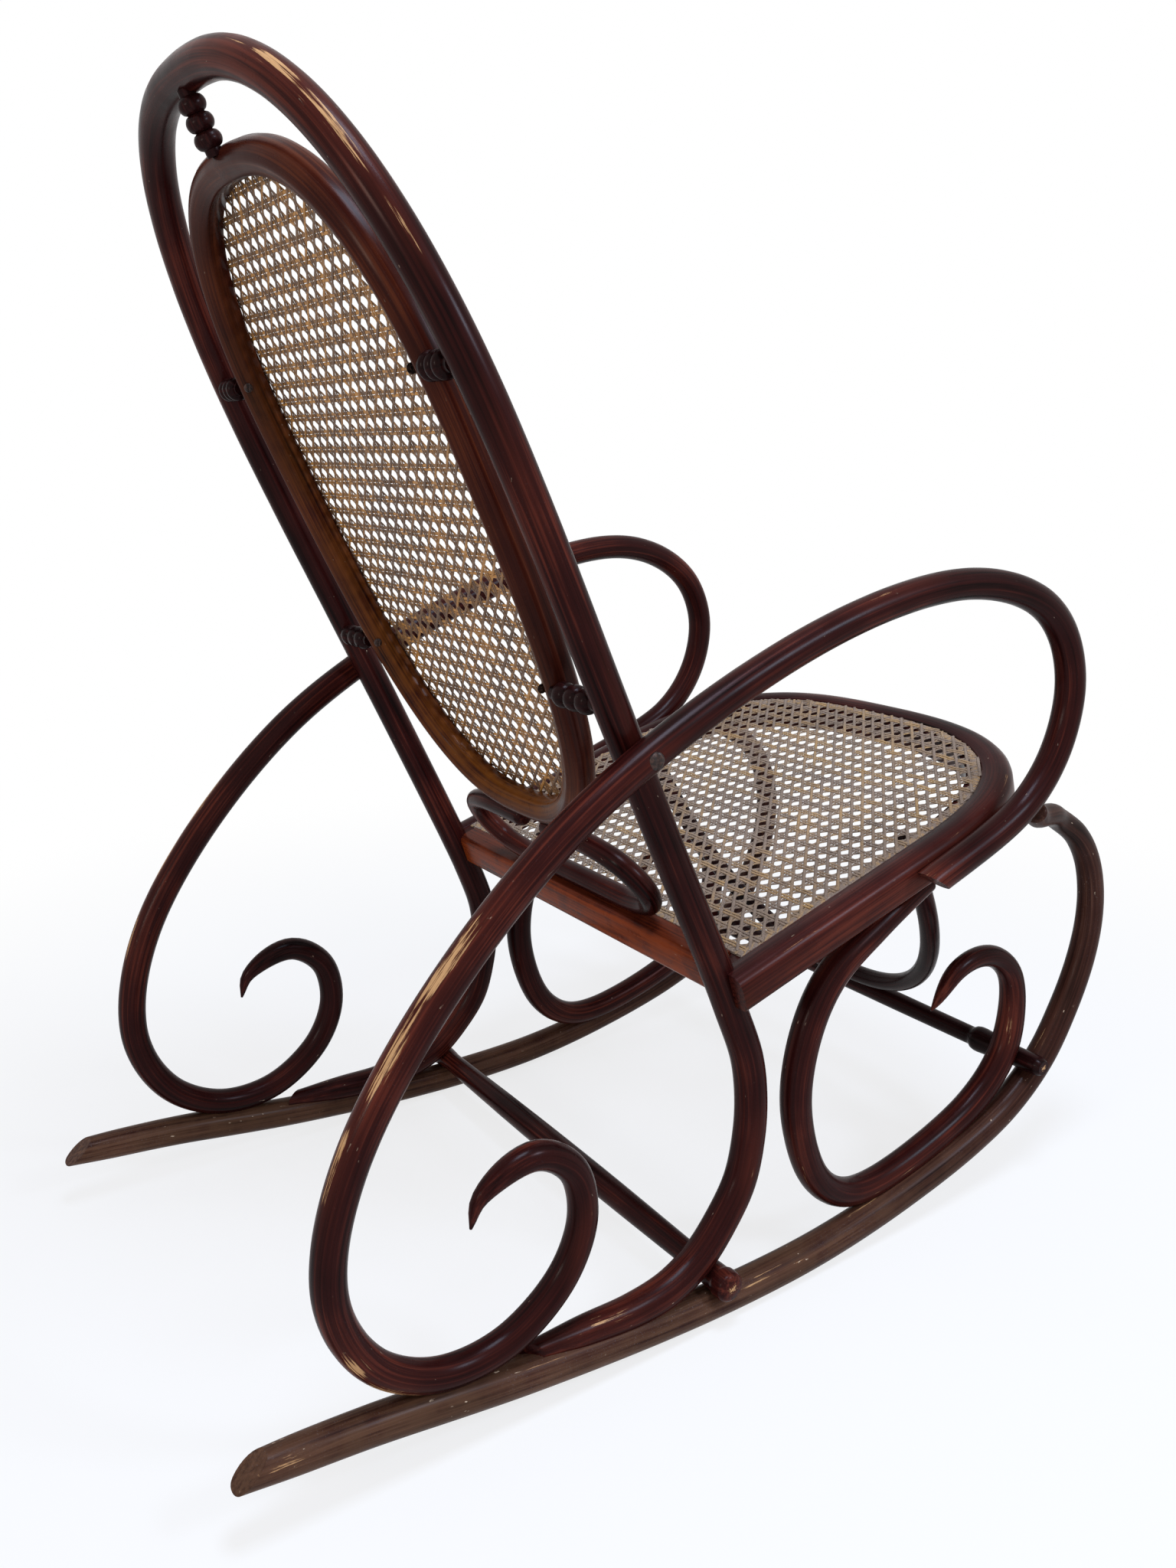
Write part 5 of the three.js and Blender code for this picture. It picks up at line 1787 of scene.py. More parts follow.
def grow(
    name: str, tree: Tree, values: dict[str, object], places: Mesh | None = None
) -> Mesh:
    """Runs a node tree and keeps its result as a plain mesh.

    Args:
        name: Name of the mesh.
        tree: The tree.
        values: Its inputs, by the sockets' identifiers.
        places: The mesh that the tree starts from, if it needs one.

    Returns:
        The mesh that the tree made.
    """
    carrier = link(f"{name}_carrier", places or bpy.data.meshes.new(f"{name}_carrier"))
    modifier = carrier.modifiers.new("grow", "NODES")
    modifier.node_group = tree
    for key, value in values.items():
        modifier[key] = value
    graph = bpy.context.evaluated_depsgraph_get()
    mesh = bpy.data.meshes.new_from_object(carrier.evaluated_get(graph))
    mesh.name = name
    bpy.data.objects.remove(carrier, do_unlink=True)
    return mesh


# Seat


@dataclass
class Seat:
    """The seat: one bent rail round the sides and front, a rear rail, and woven cane.

    Attributes:
        rail_width: Width of the bent rail.
        rear_width: Width of the rear rail.
        crown_round: Radius of the bent rail's upper outer edge.
        edge_round: Radius of its lower edges.
        lip_round: Radius of the edge in the seat's hole.
        rear_round: Radius of the rear rail's edges.
        lap: Width of rail that the cane covers.
        step: Depth of the step that the cane lies in.
        bevel: Width of the bevel over that step.
        clearance: Gap between the rails.
        cane_lift: Height of the weave's middle over the step.
        edge_rows: Section of the cane's rim, as rows of inset and height.
        fray: How unevenly that rim ends.
        matting: How uneven it is on top.
    """

    rail_width: float = 0.04
    rear_width: float = 0.038
    crown_round: float = 0.012
    edge_round: float = 0.007
    lip_round: float = 0.002
    rear_round: float = 0.006
    lap: float = 0.014
    step: float = 0.0022
    bevel: float = 0.0012
    clearance: float = 0.0003
    cane_lift: float = 0.0016
    edge_rows: Rows = (
        (0.0002, 0.0003), (0.0012, 0.0014), (0.0045, 0.0017), (0.0085, 0.0013), (0.0095, 0.0003),
    )
    fray: float = 0.0016
    matting: float = 0.0002

    STRAIGHT_RINGS = 29  # rings of the bent rail's straight part, on each side

    def front_line(self, inset: float, steps: int = 72) -> Array:
        """Points round the front of the seat, from one side to the other.

        Args:
            inset: How far the line is drawn in from the outer side.
            steps: Steps on each side.

        Returns:
            Rows of distance across and forward.
        """
        half = SIZES.seat_width / 2 - inset
        rise = SIZES.seat_round - inset
        power = 2 / SIZES.seat_roundness
        i = np.arange(-steps, steps + 1)
        angle = math.pi / 2 * (1 - np.abs(i) / steps)
        x = np.sign(i) * half * np.cos(angle).clip(0) ** power
        y = SIZES.seat_depth - SIZES.seat_round + rise * np.sin(angle) ** power
        return np.stack([x, y], axis=1)

    def cane_line(self, inset: float) -> Array:
        """The cane's outline, drawn in by an inset.

        Args:
            inset: How far it is drawn in.

        Returns:
            Rows of distance across and forward, all round.
        """
        front = self.front_line(self.rail_width - self.lap + inset, 200)
        rear = self.rear_width - self.lap + inset
        side = np.linspace(rear, front[0, 1], 60, endpoint=False)
        back = np.linspace(front[-1, 0], front[0, 0], 120, endpoint=False)[1:]
        parts = ((front[0, 0], side), (front[:, 0], front[:, 1]), (front[-1, 0], side[::-1]), (back, rear))
        return np.vstack([np.stack(np.broadcast_arrays(x, y), axis=1) for x, y in parts])

    def rail_section(self) -> Array:
        """Corners of the bent rail's section, as distance in from the outer side and height.

        Returns:
            Rows of inset and height, round the section.
        """
        r, w, t = self.edge_round, self.rail_width, SIZES.seat_thickness
        top, lip, lap = self.crown_round, self.lip_round, self.rail_width - self.lap
        return np.array(
            [
                *corner(top, -top, top, math.pi / 2),
                (0.0, -t / 2),
                *corner(r, -t + r, r, math.pi),
                (w / 2, -t),
                *corner(w - r, -t + r, r, math.pi * 1.5),
                *corner(w - lip, -self.step - lip, lip, 0.0),
                (lap + self.bevel, -self.step),
                (lap, -self.step + self.bevel / 2),
                (lap, -self.bevel),
                (lap - self.bevel, 0.0),
            ]
        )

    def make_rail(self, finishes: Finishes) -> None:
        """Builds the bent side and front rail.

        Args:
            finishes: The chair's finishes.
        """
        section = self.rail_section()
        inset, up = section.T
        count = self.STRAIGHT_RINGS
        side = SIZES.seat_depth - SIZES.seat_round
        straight = np.linspace(0, side, count + 1)[:-1]
        front = np.stack([self.front_line(each) for each in inset], axis=1)
        x, y = np.pad(front, ((count, count), (0, 0), (0, 0)), mode="edge").transpose(2, 0, 1)
        y[:count], y[-count:] = straight[:, None], straight[::-1, None]
        run = run_along(self.front_line(self.rail_width / 2)) + side
        run = np.concatenate([straight, run, run[-1] + side - straight[::-1]])
        glow = lookup(((-SIZES.seat_thickness, 0.2), (-0.006, 0.08), (0, 0)), up)
        # Rubbed on the upper outer edge, more and less by turns along the rail
        rubbed = np.exp(-(((inset - 0.004) / 0.003) ** 2)) * (up > -0.01)
        wear = 0.75 * rubbed * (0.6 + 0.4 * np.sin(run * 23.0))[:, None]
        shell = swept(SIZES.seat_point(x, y, up), run, section, wear, glow)
        piece("bent_seat_rail", shell, finishes.rail, "seat_rail", sharp=50)

    def make_rear_rail(self, finishes: Finishes) -> None:
        """Builds the straight rear rail.

        Args:
            finishes: The chair's finishes.
        """
        r, w, t = self.rear_round, self.rear_width, SIZES.seat_thickness
        lip, lap = self.lip_round, self.rear_width - self.lap
        section = np.array(
            [
                *corner(r, -r, r, math.pi / 2),
                *corner(r, -t + r, r, math.pi),
                *corner(w - r, -t + r, r, math.pi * 1.5),
                (w, -self.step - lip),
                (w - lip, -self.step),
                (lap, -self.step),
                (lap, 0.0),
            ]
        )
        forward, up = section.T
        half = SIZES.seat_width / 2 - self.rail_width - self.clearance
        x = np.linspace(-half, half, 60)
        glow = lookup(((0, 0.9), (0.006, 0.35), (w, 0.3)), forward)
        wear = 0.35 * np.exp(-(((forward - 0.003) / 0.003) ** 2)) * (up > -0.006)
        shell = swept(SIZES.seat_point(x[:, None], forward, up), x, section, wear, glow)
        piece("straight_rear_rail", shell, finishes.rail, "seat_rear_rail", sharp=50)

    def make_edge(self, finishes: Finishes) -> None:
        """Builds the frayed, matted rim of the cane, where it lies on the rails.

        Args:
            finishes: The chair's finishes.
        """
        rng = np.random.default_rng(7)
        insets, ups = np.array(self.edge_rows).T
        lines = np.stack([self.cane_line(inset) for inset in insets], axis=1)
        run = run_along(lines[:, 0])
        fray = np.convolve(rng.normal(0, self.fray, len(lines) + 4), np.ones(5) / 3, mode="valid")
        inward = lines[:, -1] - lines[:, 0]
        inward = inward / np.maximum(np.linalg.norm(inward, axis=1), 1e-6)[:, None]
        lines[:, 3:] += (inward * fray[:, None])[:, None]
        matting = rng.normal(0, self.matting, (len(insets), len(lines))).T
        matting[:, [0, -1]] = 0
        up = ups + matting
        points = SIZES.seat_point(lines[..., 0], lines[..., 1], up - self.step)
        grain = np.stack(np.broadcast_arrays(insets, up), axis=-1)
        none = np.zeros(len(insets))
        shell = swept(points, run, grain, none, none, closed=True)
        mesh = piece("seat_weave_edge", shell, finishes.seat_cane, "seat_cane")
        tone = mesh.attributes.new("tone", "FLOAT", "POINT")
        tone.data.foreach_set("value", rng.uniform(-0.3, 0.8, len(mesh.vertices)).astype(np.float32))

    def panel(self) -> Panel:
        """The woven seat."""
        inset = self.rail_width - self.lap
        origin = SIZES.seat_point(0.0, 0.0, self.cane_lift - self.step)
        return Panel(
            name="seat_weave",
            node="seat_cane",
            frame=plane_matrix(origin, ACROSS, SIZES.seat_forward, SIZES.seat_up),
            half=SIZES.seat_width / 2 - inset,
            low=self.rear_width - self.lap,
            low_rise=0.001,
            low_roundness=2.0,
            high=SIZES.seat_depth - inset,
            high_rise=SIZES.seat_round - inset,
            high_roundness=SIZES.seat_roundness,
            pitch=(0.0142, 0.0153),
            pair_gap=0.0032,
            width=0.0027,
            slant=0.0032,
            tones=(0.4, 0.2, 0.25),
        )

    def make(self, finishes: Finishes, weave: Weave) -> None:
        """Builds the seat.

        Args:
            finishes: The chair's finishes.
            weave: Makes the cane.
        """
        self.make_rail(finishes)
        self.make_rear_rail(finishes)
        weave.make(self.panel(), finishes.seat_cane)
        self.make_edge(finishes)


# Back


@dataclass
class OvalBack:
    """The caned oval in the hoop, with its beaded spacers and spindle.

    Attributes:
        top: Crown of the hoop to the top of the oval.
        width: The oval's width.
        upper_share: Top to the widest place, of the way to the seat.
        seat_gap: Bottom of the oval to the seat.
        upper_roundness: Power of the upper outline.
        lower_roundness: Power of the lower outline.
        radial: Width of the frame's section.
        depth: Thickness of the frame's section.
        forward: How far its middle plane stands in front of the hoop's.
        rebate: Width of the step for the cane.
        rebate_depth: Depth of that step.
        cane_gap: From the step's side to the weave's outline.
        cane_lift: Height of the weave's middle over the step.
        bead_diameter: Thickness of the beads.
        bead_neck: Thickness between them.
        bead_count: Beads in a row.
        bead_power: How full the beads are, 1 for a plain wave.
        spindle_end: Length of the spindle's plain ends.
        spacer_shares: Height of the spacers, crown to seat.
        spacer_sink: How far they sink into the frame, of its width.
        spacer_back: How far spacers and spindle lie behind the hoop's middle plane.
    """

    top: float = 0.05
    width: float = 0.378
    upper_share: float = 0.3177
    seat_gap: float = 0.094
    upper_roundness: float = 2.5
    lower_roundness: float = 2.7
    radial: float = 0.025
    depth: float = 0.027
    forward: float = 0.003
    rebate: float = 0.0075
    rebate_depth: float = 0.004
    cane_gap: float = 0.0008
    cane_lift: float = 0.0018
    bead_diameter: float = 0.021
    bead_neck: float = 0.0125
    bead_count: int = 3
    bead_power: float = 0.55
    spindle_end: float = 0.005
    spacer_shares: tuple[float, float] = (0.298, 0.645)
    spacer_sink: float = 0.25
    spacer_back: float = 0.007

    TURNS = (np.arange(176) + 0.5) / 176 * 2 * math.pi  # where the outline has points, from the top
    BEAD_SIDES = 28
    BEAD_STEPS = 10
    POINT = 0.0005  # radius in which a turned end closes

    @property
    def upper(self) -> float:
        """Top to the widest place."""
        return SIZES.lean_length * self.upper_share

    @property
    def bottom(self) -> float:
        """Crown of the hoop to the bottom of the oval."""
        return SIZES.lean_length - self.seat_gap

    @property
    def lower(self) -> float:
        """Widest place to the bottom."""
        return self.bottom - self.top - self.upper

    def outline(self, inset: float) -> Array:
        """Points of the oval's outline, drawn in by an inset.

        Args:
            inset: How far it is drawn in.

        Returns:
            Rows of distance across and down.
        """
        sine, cosine = np.sin(self.TURNS), np.cos(self.TURNS)
        upper = cosine > 0
        power = np.where(upper, 2 / self.upper_roundness, 2 / self.lower_roundness)
        reach = np.where(upper, self.upper, self.lower) - inset
        x = np.sign(sine) * (self.width / 2 - inset) * np.abs(sine) ** power
        down = self.top + self.upper - np.sign(cosine) * reach * np.abs(cosine) ** power
        return np.stack([x, down], axis=1)

    def half_at(self, down: float) -> float:
        """Half the oval's width at some height.

        Args:
            down: Distance below the hoop's crown.

        Returns:
            Half the width there.
        """
        from_widest = down - self.top - self.upper
        if from_widest < 0:
            return arch_half(self.width / 2, self.upper, self.upper_roundness, self.upper + from_widest)
        return arch_half(self.width / 2, self.lower, self.lower_roundness, self.lower - from_widest)

    def section(self) -> Array:
        """Rows of inset, forward, warmth and wear round the frame's section."""
        out, deep = self.radial, self.depth / 2
        step, lap = deep - self.rebate_depth, self.radial - self.rebate
        return np.array(
            [
                (0.0245, 0.0075 - deep, 0.95, 0.1), (0.0232, 0.0052 - deep, 0.9, 0.1),
                (0.0185, 0.0024 - deep, 0.7, 0.1), (0.0140, 0.0006 - deep, 0.5, 0.3),
                (0.0122, -deep, 0.3, 0.75), (0.0104, 0.0005 - deep, 0.2, 0.4),
                (0.0070, 0.0021 - deep, 0.15, 0.1), (0.0034, 0.0046 - deep, 0.05, 0.0),
                (0.0012, 0.0076 - deep, 0.05, 0.0), (0.0, 0.0112 - deep, 0.05, 0.0),
                (0.0, 0.0, 0.05, 0.0), (0.0, deep - 0.0085, 0.05, 0.0),
                (0.0013, deep - 0.0045, 0.05, 0.0), (0.0040, deep - 0.0015, 0.1, 0.1),
                (0.0085, deep, 0.15, 0.2), (0.0130, deep - 0.0002, 0.25, 0.2),
                (lap - 0.001, deep - 0.0006, 0.3, 0.2), (lap, deep - 0.0016, 0.3, 0.1),
                (lap, step, 0.4, 0.0), (out - 0.0015, step, 0.5, 0.0),
                (out, step - 0.0015, 0.8, 0.0), (out, 0.0, 0.95, 0.0), (out, 0.012 - deep, 0.95, 0.0),
            ]
        )

    def make_frame(self, finishes: Finishes) -> None:
        """Builds the oval frame.

        Args:
            finishes: The chair's finishes.
        """
        section = self.section()
        outline = np.stack([self.outline(inset) for inset in section[:, 0]], axis=1)
        points = SIZES.back_point(outline[..., 0], outline[..., 1], self.forward + section[:, 1])
        # Warm under-colour on the inner wall, fading out towards the top as painted shade on the upper inner
        # wall, and rubbed in patches
        low = 0.5 - 0.5 * np.cos(self.TURNS)
        glow = section[:, 2] * (0.08 + 0.92 * low[:, None] ** 1.5)
        rub = 0.5 + 0.5 * np.sin(self.TURNS * 5.0 + 0.8) * np.cos(self.TURNS * 2.0)
        wear = section[:, 3] * (0.45 + 0.45 * rub[:, None])
        shell = swept(points, run_along(self.outline(self.radial / 2)), section, wear, glow, closed=True)
        piece("bent_back_oval", shell, finishes.oval, "back_frame", sharp=60)

    def beads(self, start: Array, direction: Array, plain: float, length: float) -> Shell:
        """A row of turned beads between two plain ends.

        Args:
            start: Where the row's axis starts.
            direction: Its direction.
            plain: Length of a plain end.
            length: Length of the beads.

        Returns:
            The turned shell.
        """
        neck = self.bead_neck / 2
        swell = (self.bead_diameter - self.bead_neck) / 2
        pitch = length / self.bead_count
        rows = [(self.POINT, 0.0), (neck, 0.0)]
        for i in range(self.bead_count):
            for at in np.arange(self.BEAD_STEPS) / self.BEAD_STEPS:
                bulge = math.sin(math.pi * at) ** self.bead_power
                rows.append((neck + swell * bulge, plain + pitch * (i + at)))
        end = plain + length + plain
        rows += [(neck, plain + length), (neck, end), (self.POINT, end)]
        return lathe(rows, start, direction, self.BEAD_SIDES)

    def make_beads(self, finishes: Finishes) -> None:
        """Builds the spindle and the four spacers.

        Args:
            finishes: The chair's finishes.
        """
        rod, plain = SIZES.hoop_diameter / 2, self.spindle_end
        start = SIZES.back_point(0.0, rod - plain, -self.spacer_back)
        shell = self.beads(start, SIZES.lean_down, plain, self.top - rod)
        piece("turned_top_spindle", shell, finishes.dark, "top_spindle")
        plain = self.radial * self.spacer_sink
        rise = SIZES.lean_length * SIZES.hoop_arch_share
        for level, share in zip(("upper", "lower"), self.spacer_shares):
            down = share * SIZES.lean_length
            inside = arch_half(SIZES.hoop_width / 2, rise, SIZES.hoop_roundness, down) - rod
            half = self.half_at(down)
            for hand in Hand:
                start = SIZES.back_point(hand.value * (half - plain), down, -self.spacer_back)
                shell = self.beads(start, hand.value * ACROSS, plain, inside - half)
                node = f"{level}_spacer_{hand.word}"
                piece(f"turned_{node}", shell, finishes.dark, node)

    def panel(self) -> Panel:
        """The woven back."""
        inset = self.radial - self.rebate + self.cane_gap
        height = self.forward + self.depth / 2 - self.rebate_depth + self.cane_lift
        origin = SIZES.back_point(0.0, 0.0, height)
        return Panel(
            name="back_weave",
            node="back_cane",
            frame=plane_matrix(origin, -ACROSS, SIZES.lean_down, SIZES.lean_forward),
            half=self.width / 2 - inset,
            low=self.top + inset,
            low_rise=self.upper - inset,
            low_roundness=self.upper_roundness,
            high=self.bottom - inset,
            high_rise=self.lower - inset,
            high_roundness=self.lower_roundness,
            pitch=(0.0162, 0.0151),
            pair_gap=0.0033,
            width=0.0028,
            slant=0.0031,
            tones=(0.9, 0.15, 0.3),
        )

    def make(self, finishes: Finishes, weave: Weave) -> None:
        """Builds the back.

        Args:
            finishes: The chair's finishes.
            weave: Makes the cane.
        """
        self.make_frame(finishes)
        self.make_beads(finishes)
        weave.make(self.panel(), finishes.back_cane)


# Bows and stretchers


@dataclass
class Bows:
    """The bow behind the seat and the one under its front.

    Attributes:
        rear_diameter: Thickness of the rear bow.
        rear_width: Width of the rear bow.
        rear_shares: Its half, as shares of half its width and of its rise.
        rear_round: How deep its ends are rounded, as a share of its radius.
        rear_wears: Its worn patches.
        front_diameter: Thickness of the front bow.
        front_width: Width of the front bow.
        front_roundness: Power of its outline.
        front_top_share: How far along the seat it ends.
        front_tenon: How far its ends reach into the seat.
    """

    rear_diameter: float = 0.0205
    rear_width: float = 0.284
    rear_shares: Rows = (
        (0, 0), (0.35, 0), (0.68, 0.02), (0.91, 0.17), (1, 0.5), (0.91, 0.83), (0.68, 0.98), (0.4, 1),
        (0.17, 0.99),
    )
    rear_round: float = 0.6
    rear_wears: Sequence[Wear] = (
        Wear(0.2, (0, 0.5, 1), 0.05, 0.005, 0.5),
        Wear(0.75, (0, 0.5, 1), 0.05, 0.005, 0.4),
    )
    front_diameter: float = 0.02
    front_width: float = 0.396
    front_roundness: float = 2.4
    front_top_share: float = 0.565
    front_tenon: float = 0.012

    def make_rear(self, finishes: Finishes, oval: OvalBack, seat: Seat) -> None:
        """Builds the rear bow.

        Args:
            finishes: The chair's finishes.
            oval: The back that it holds.
            seat: The seat that it stands on.
        """
        radius = self.rear_diameter / 2
        low = SIZES.seat_point(0.0, seat.rear_width / 2, radius - SIZES.bite / 2)
        high = SIZES.back_point(0.0, oval.bottom + radius - SIZES.bite, oval.forward)
        x, up = np.array(self.rear_shares).T[..., None]
        path = low + (high - low) * up + x * self.rear_width / 2 * ACROSS
        half = Rod(path, SIZES.lean_forward, lambda s: np.full_like(s, radius), self.rear_wears)
        half.round_ends = self.rear_round
        piece("bent_rear_bow", half.mirrored().shell(), finishes.rod, "rear_bow")

    def make_front(self, finishes: Finishes, stretchers: Stretchers) -> None:
        """Builds the front bow.

        Args:
            finishes: The chair's finishes.
            stretchers: The stretchers, of which it stands on the front one.
        """
        axis = stretchers.axis("front")
        radius = self.front_diameter / 2
        up = self.front_tenon - SIZES.seat_thickness
        top = SIZES.seat_point(0.0, self.front_top_share * SIZES.seat_depth, up)
        foot = axis + unit(top - axis) * (stretchers.front_diameter / 2 + radius - SIZES.bite / 2)
        angle = np.linspace(0, math.pi / 2, 9)[:, None]
        power = 2 / self.front_roundness
        path = foot + (1 - np.cos(angle).clip(0) ** power) * (top - foot)
        path = path + self.front_width / 2 * np.sin(angle) ** power * ACROSS
        half = Rod(path, SIZES.seat_forward, lambda s: np.full_like(s, radius))
        # The near-black finish on this bow is partly painted shade from under the seat, over a darker stain.
        piece("bent_front_bow", half.mirrored().shell(), finishes.dark, "front_bow")


@dataclass
class Stretchers:
    """The two turned stretchers.

    Attributes:
        overhang: How far a stretcher passes the outer side of the runners.
        rear_diameter: Thickness of the rear stretcher.
        rear_shares: Its profile, as shares of half its length and of its radius.
        front_diameter: Thickness of the front stretcher.
        front_shares: Its profile.
        end_wear: How far the finish is worn on the ends.
    """

    overhang: float = 0.01
    rear_diameter: float = 0.024
    rear_shares: Rows = (
        (0, 1.08), (0.2, 1.07), (0.4, 1.03), (0.55, 0.98), (0.7, 0.93), (0.8, 0.895), (0.84, 0.9),
        (0.88, 0.985), (0.91, 1.02), (0.94, 1.03), (0.944, 1.08), (0.95, 1.15), (0.965, 1.17), (0.985, 1.12),
        (0.993, 1.02), (1.0, 0.8),
    )
    front_diameter: float = 0.021
    front_shares: Rows = (
        (0, 1), (0.3, 0.985), (0.66, 0.94), (0.675, 0.93), (0.68, 1.0), (0.69, 1.2), (0.705, 1.29),
        (0.72, 1.3), (0.76, 1.22), (0.8, 1.12), (0.87, 1), (0.93, 1.0), (0.955, 1), (0.975, 0.98),
        (0.99, 0.88), (1.0, 0.7),
    )
    end_wear: float = 1.3

    SIDES = 32
    STEPS = 90
    POINT = 0.0006  # radius in which an end closes

    def axis(self, which: str) -> Array:
        """The middle of a stretcher, from its CAD node.

        Args:
            which: Front or rear.

        Returns:
            The drawn point.
        """
        low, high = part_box(f"{which}_stretcher")
        middle = STANCE.unplace((low + high) / 2)
        middle[0] = 0.0
        return middle

    def make(self, finishes: Finishes) -> None:
        """Builds both stretchers.

        Args:
            finishes: The chair's finishes.
        """
        half = (SIZES.runner_spacing + SIZES.runner_diameter) / 2 + self.overhang
        kinds = (
            ("rear", self.rear_diameter, self.rear_shares, finishes.rod, Slot.WOOD),
            ("front", self.front_diameter, self.front_shares, finishes.dark, Slot.DARK_WOOD),
        )
        for which, diameter, shares, finish, slot in kinds:
            places = half * np.array(shares)[:, 0]
            along = np.unique(np.concatenate([-places, places, np.linspace(-half, half, self.STEPS)]))
            radii = diameter / 2 * lookup(shares, np.abs(along) / half)
            profile = [(self.POINT, -half), *zip(radii, along), (self.POINT, half)]
            shell = lathe(profile, self.axis(which), ACROSS, self.SIDES)
            shell.wear[: self.SIDES] = shell.wear[-self.SIDES :] = self.end_wear
            node = f"{which}_stretcher"
            piece(f"turned_{node}", shell, finish, node)


# Fasteners


@dataclass(frozen=True)
class Head:
    """One screw's or bolt's head, as its CAD node has it.

    Attributes:
        node: The CAD node.
        rim: Middle of the head's rim.
        outward: Direction out of the head.
        radius: The head's radius.
    """

    node: str
    rim: Array
    outward: Array
    radius: float

    @classmethod
    def read(cls, node: str, obj: bpy.types.Object) -> Head:
        """Finds the head of a turned node: the end where its widest points lie.

        Args:
            node: The CAD node's name.
            obj: Its object.

        Returns:
            The head.
        """
        points = np.array([v.co for v in obj.data.vertices])
        middle = points.mean(0)
        axis = np.linalg.svd(points - middle, full_matrices=False)[2][0]
        along = (points - middle) @ axis
        across = np.linalg.norm(points - middle - np.outer(along, axis), axis=1)
        wide = across > across.max() * 0.92
        if along[wide].mean() < (along.max() + along.min()) / 2:
            axis, along = -axis, -along
        return cls(node, middle + axis * along[wide].min(), axis, float(across.max()))


@dataclass
class Fasteners:
    """Domed screw heads and bolts, laid by a node tree where the CAD has them.

    Attributes:
        rim: Height of a head's rim, as a share of its radius.
        rise: Height of its dome, likewise.
        slot_half: Half the width of its slot, likewise.
        slot_depth: Depth of the slot, likewise.
        head_sides: Corners of a head.
    """

    rim: float = 0.06
    rise: float = 0.36
    slot_half: float = 0.17
    slot_depth: float = 0.16
    head_sides: int = 20

    def head_mesh(self) -> Mesh:
        """A slotted dome of radius 1 on a shank, that looks along +Z."""
        turns = np.linspace(0.15, 1, 7)[:-1] * math.pi / 2
        profile = [
            *((0.06, -0.5), (0.45, -0.5), (0.45, -0.05), (1.0, -0.05), (1.0, self.rim)),
            *zip(np.cos(turns), self.rim + self.rise * np.sin(turns)),
            (0.04, self.rim + self.rise),
        ]
        shell = lathe(profile, np.zeros(3), np.array([0.0, 0.0, 1.0]), self.head_sides)
        slot = (shell.points[:, 2] > 0.2) & (np.abs(shell.points[:, 1]) < self.slot_half)
        shell.points[slot, 2] -= self.slot_depth
        return shell.mesh("screw_head")

    def tree(self) -> tuple[Tree, dict[str, str]]:
        """A tree that sets a head on each point, turned and sized by the point's attributes.

        Returns:
            The tree, and the identifiers of its inputs by name.
        """
        g = Graph.group("screw_heads")
        kinds = {"Places": "Geometry", "Head": "Object", "Head Size": "Float", "Finish": "Material"}
        ids = {name: g.input(name, kind) for name, kind in kinds.items()}
        given = g.add("NodeGroupInput").outputs
        head = g.add("GeometryNodeObjectInfo", {"Object": given["Head"]}).outputs["Geometry"]
        outward = g.get("GeometryNodeInputNamedAttribute", {"Name": "outward"}, data_type="FLOAT_VECTOR")
        radius = g.get("GeometryNodeInputNamedAttribute", {"Name": "radius"}, data_type="FLOAT")
        turn = g.get("FunctionNodeAlignRotationToVector", {"Vector": outward}, axis="Z")
        size = g.times(radius, given["Head Size"])
        inputs = {"Points": given["Places"], "Instance": head, "Rotation": turn, "Scale": size}
        g.dress(g.get("GeometryNodeInstanceOnPoints", inputs), given["Finish"])
        return g.tree, ids

    def make(self, finishes: Finishes) -> None:
        """Builds every screw head and bolt head as one piece.

        Args:
            finishes: The chair's finishes.
        """
        nodes = sorted(frame["nodes"].items())
        heads = [Head.read(name, obj) for name, obj in nodes if "screw" in name or "bolt" in name]
        places = bpy.data.meshes.new("screw_places")
        places.from_pydata([tuple(head.rim) for head in heads], [], [])
        outward = places.attributes.new("outward", "FLOAT_VECTOR", "POINT")
        outward.data.foreach_set("vector", np.array([head.outward for head in heads], np.float32).ravel())
        radius = places.attributes.new("radius", "FLOAT", "POINT")
        radius.data.foreach_set("value", np.array([head.radius for head in heads], np.float32))
        pattern = link("screw_head", self.head_mesh())
        tree, ids = self.tree()
        values = {"Head": pattern, "Head Size": 1.0, "Finish": finishes.steel}
        mesh = grow("screw_heads", tree, {ids[key]: value for key, value in values.items()}, places)
        bpy.data.objects.remove(pattern, do_unlink=True)
        smooth(mesh, 45.0)
        settle("screw_heads", mesh, [head.node for head in heads])


# Studio


@dataclass(frozen=True)
class Lamp:
    """A square lamp.

    Attributes:
        name: Its name.
        place: Where it hangs.
        target: Where it points.
        size: Length of a side.
        power: Its power in watts.
        colour: Its colour.
    """

    name: str
    place: Place
    target: Place
    size: float
    power: float
    colour: Place

    def make(self) -> None:
        """Hangs the lamp."""
        data = bpy.data.lights.new(self.name, "AREA")
        data.shape = "SQUARE"
        data.size = self.size
        data.energy = self.power
        data.color = self.colour
        lamp = link(self.name, data)
        lamp.location = self.place
        lamp.rotation_euler = (Vector(self.target) - Vector(self.place)).to_track_quat("-Z", "Y").to_euler()


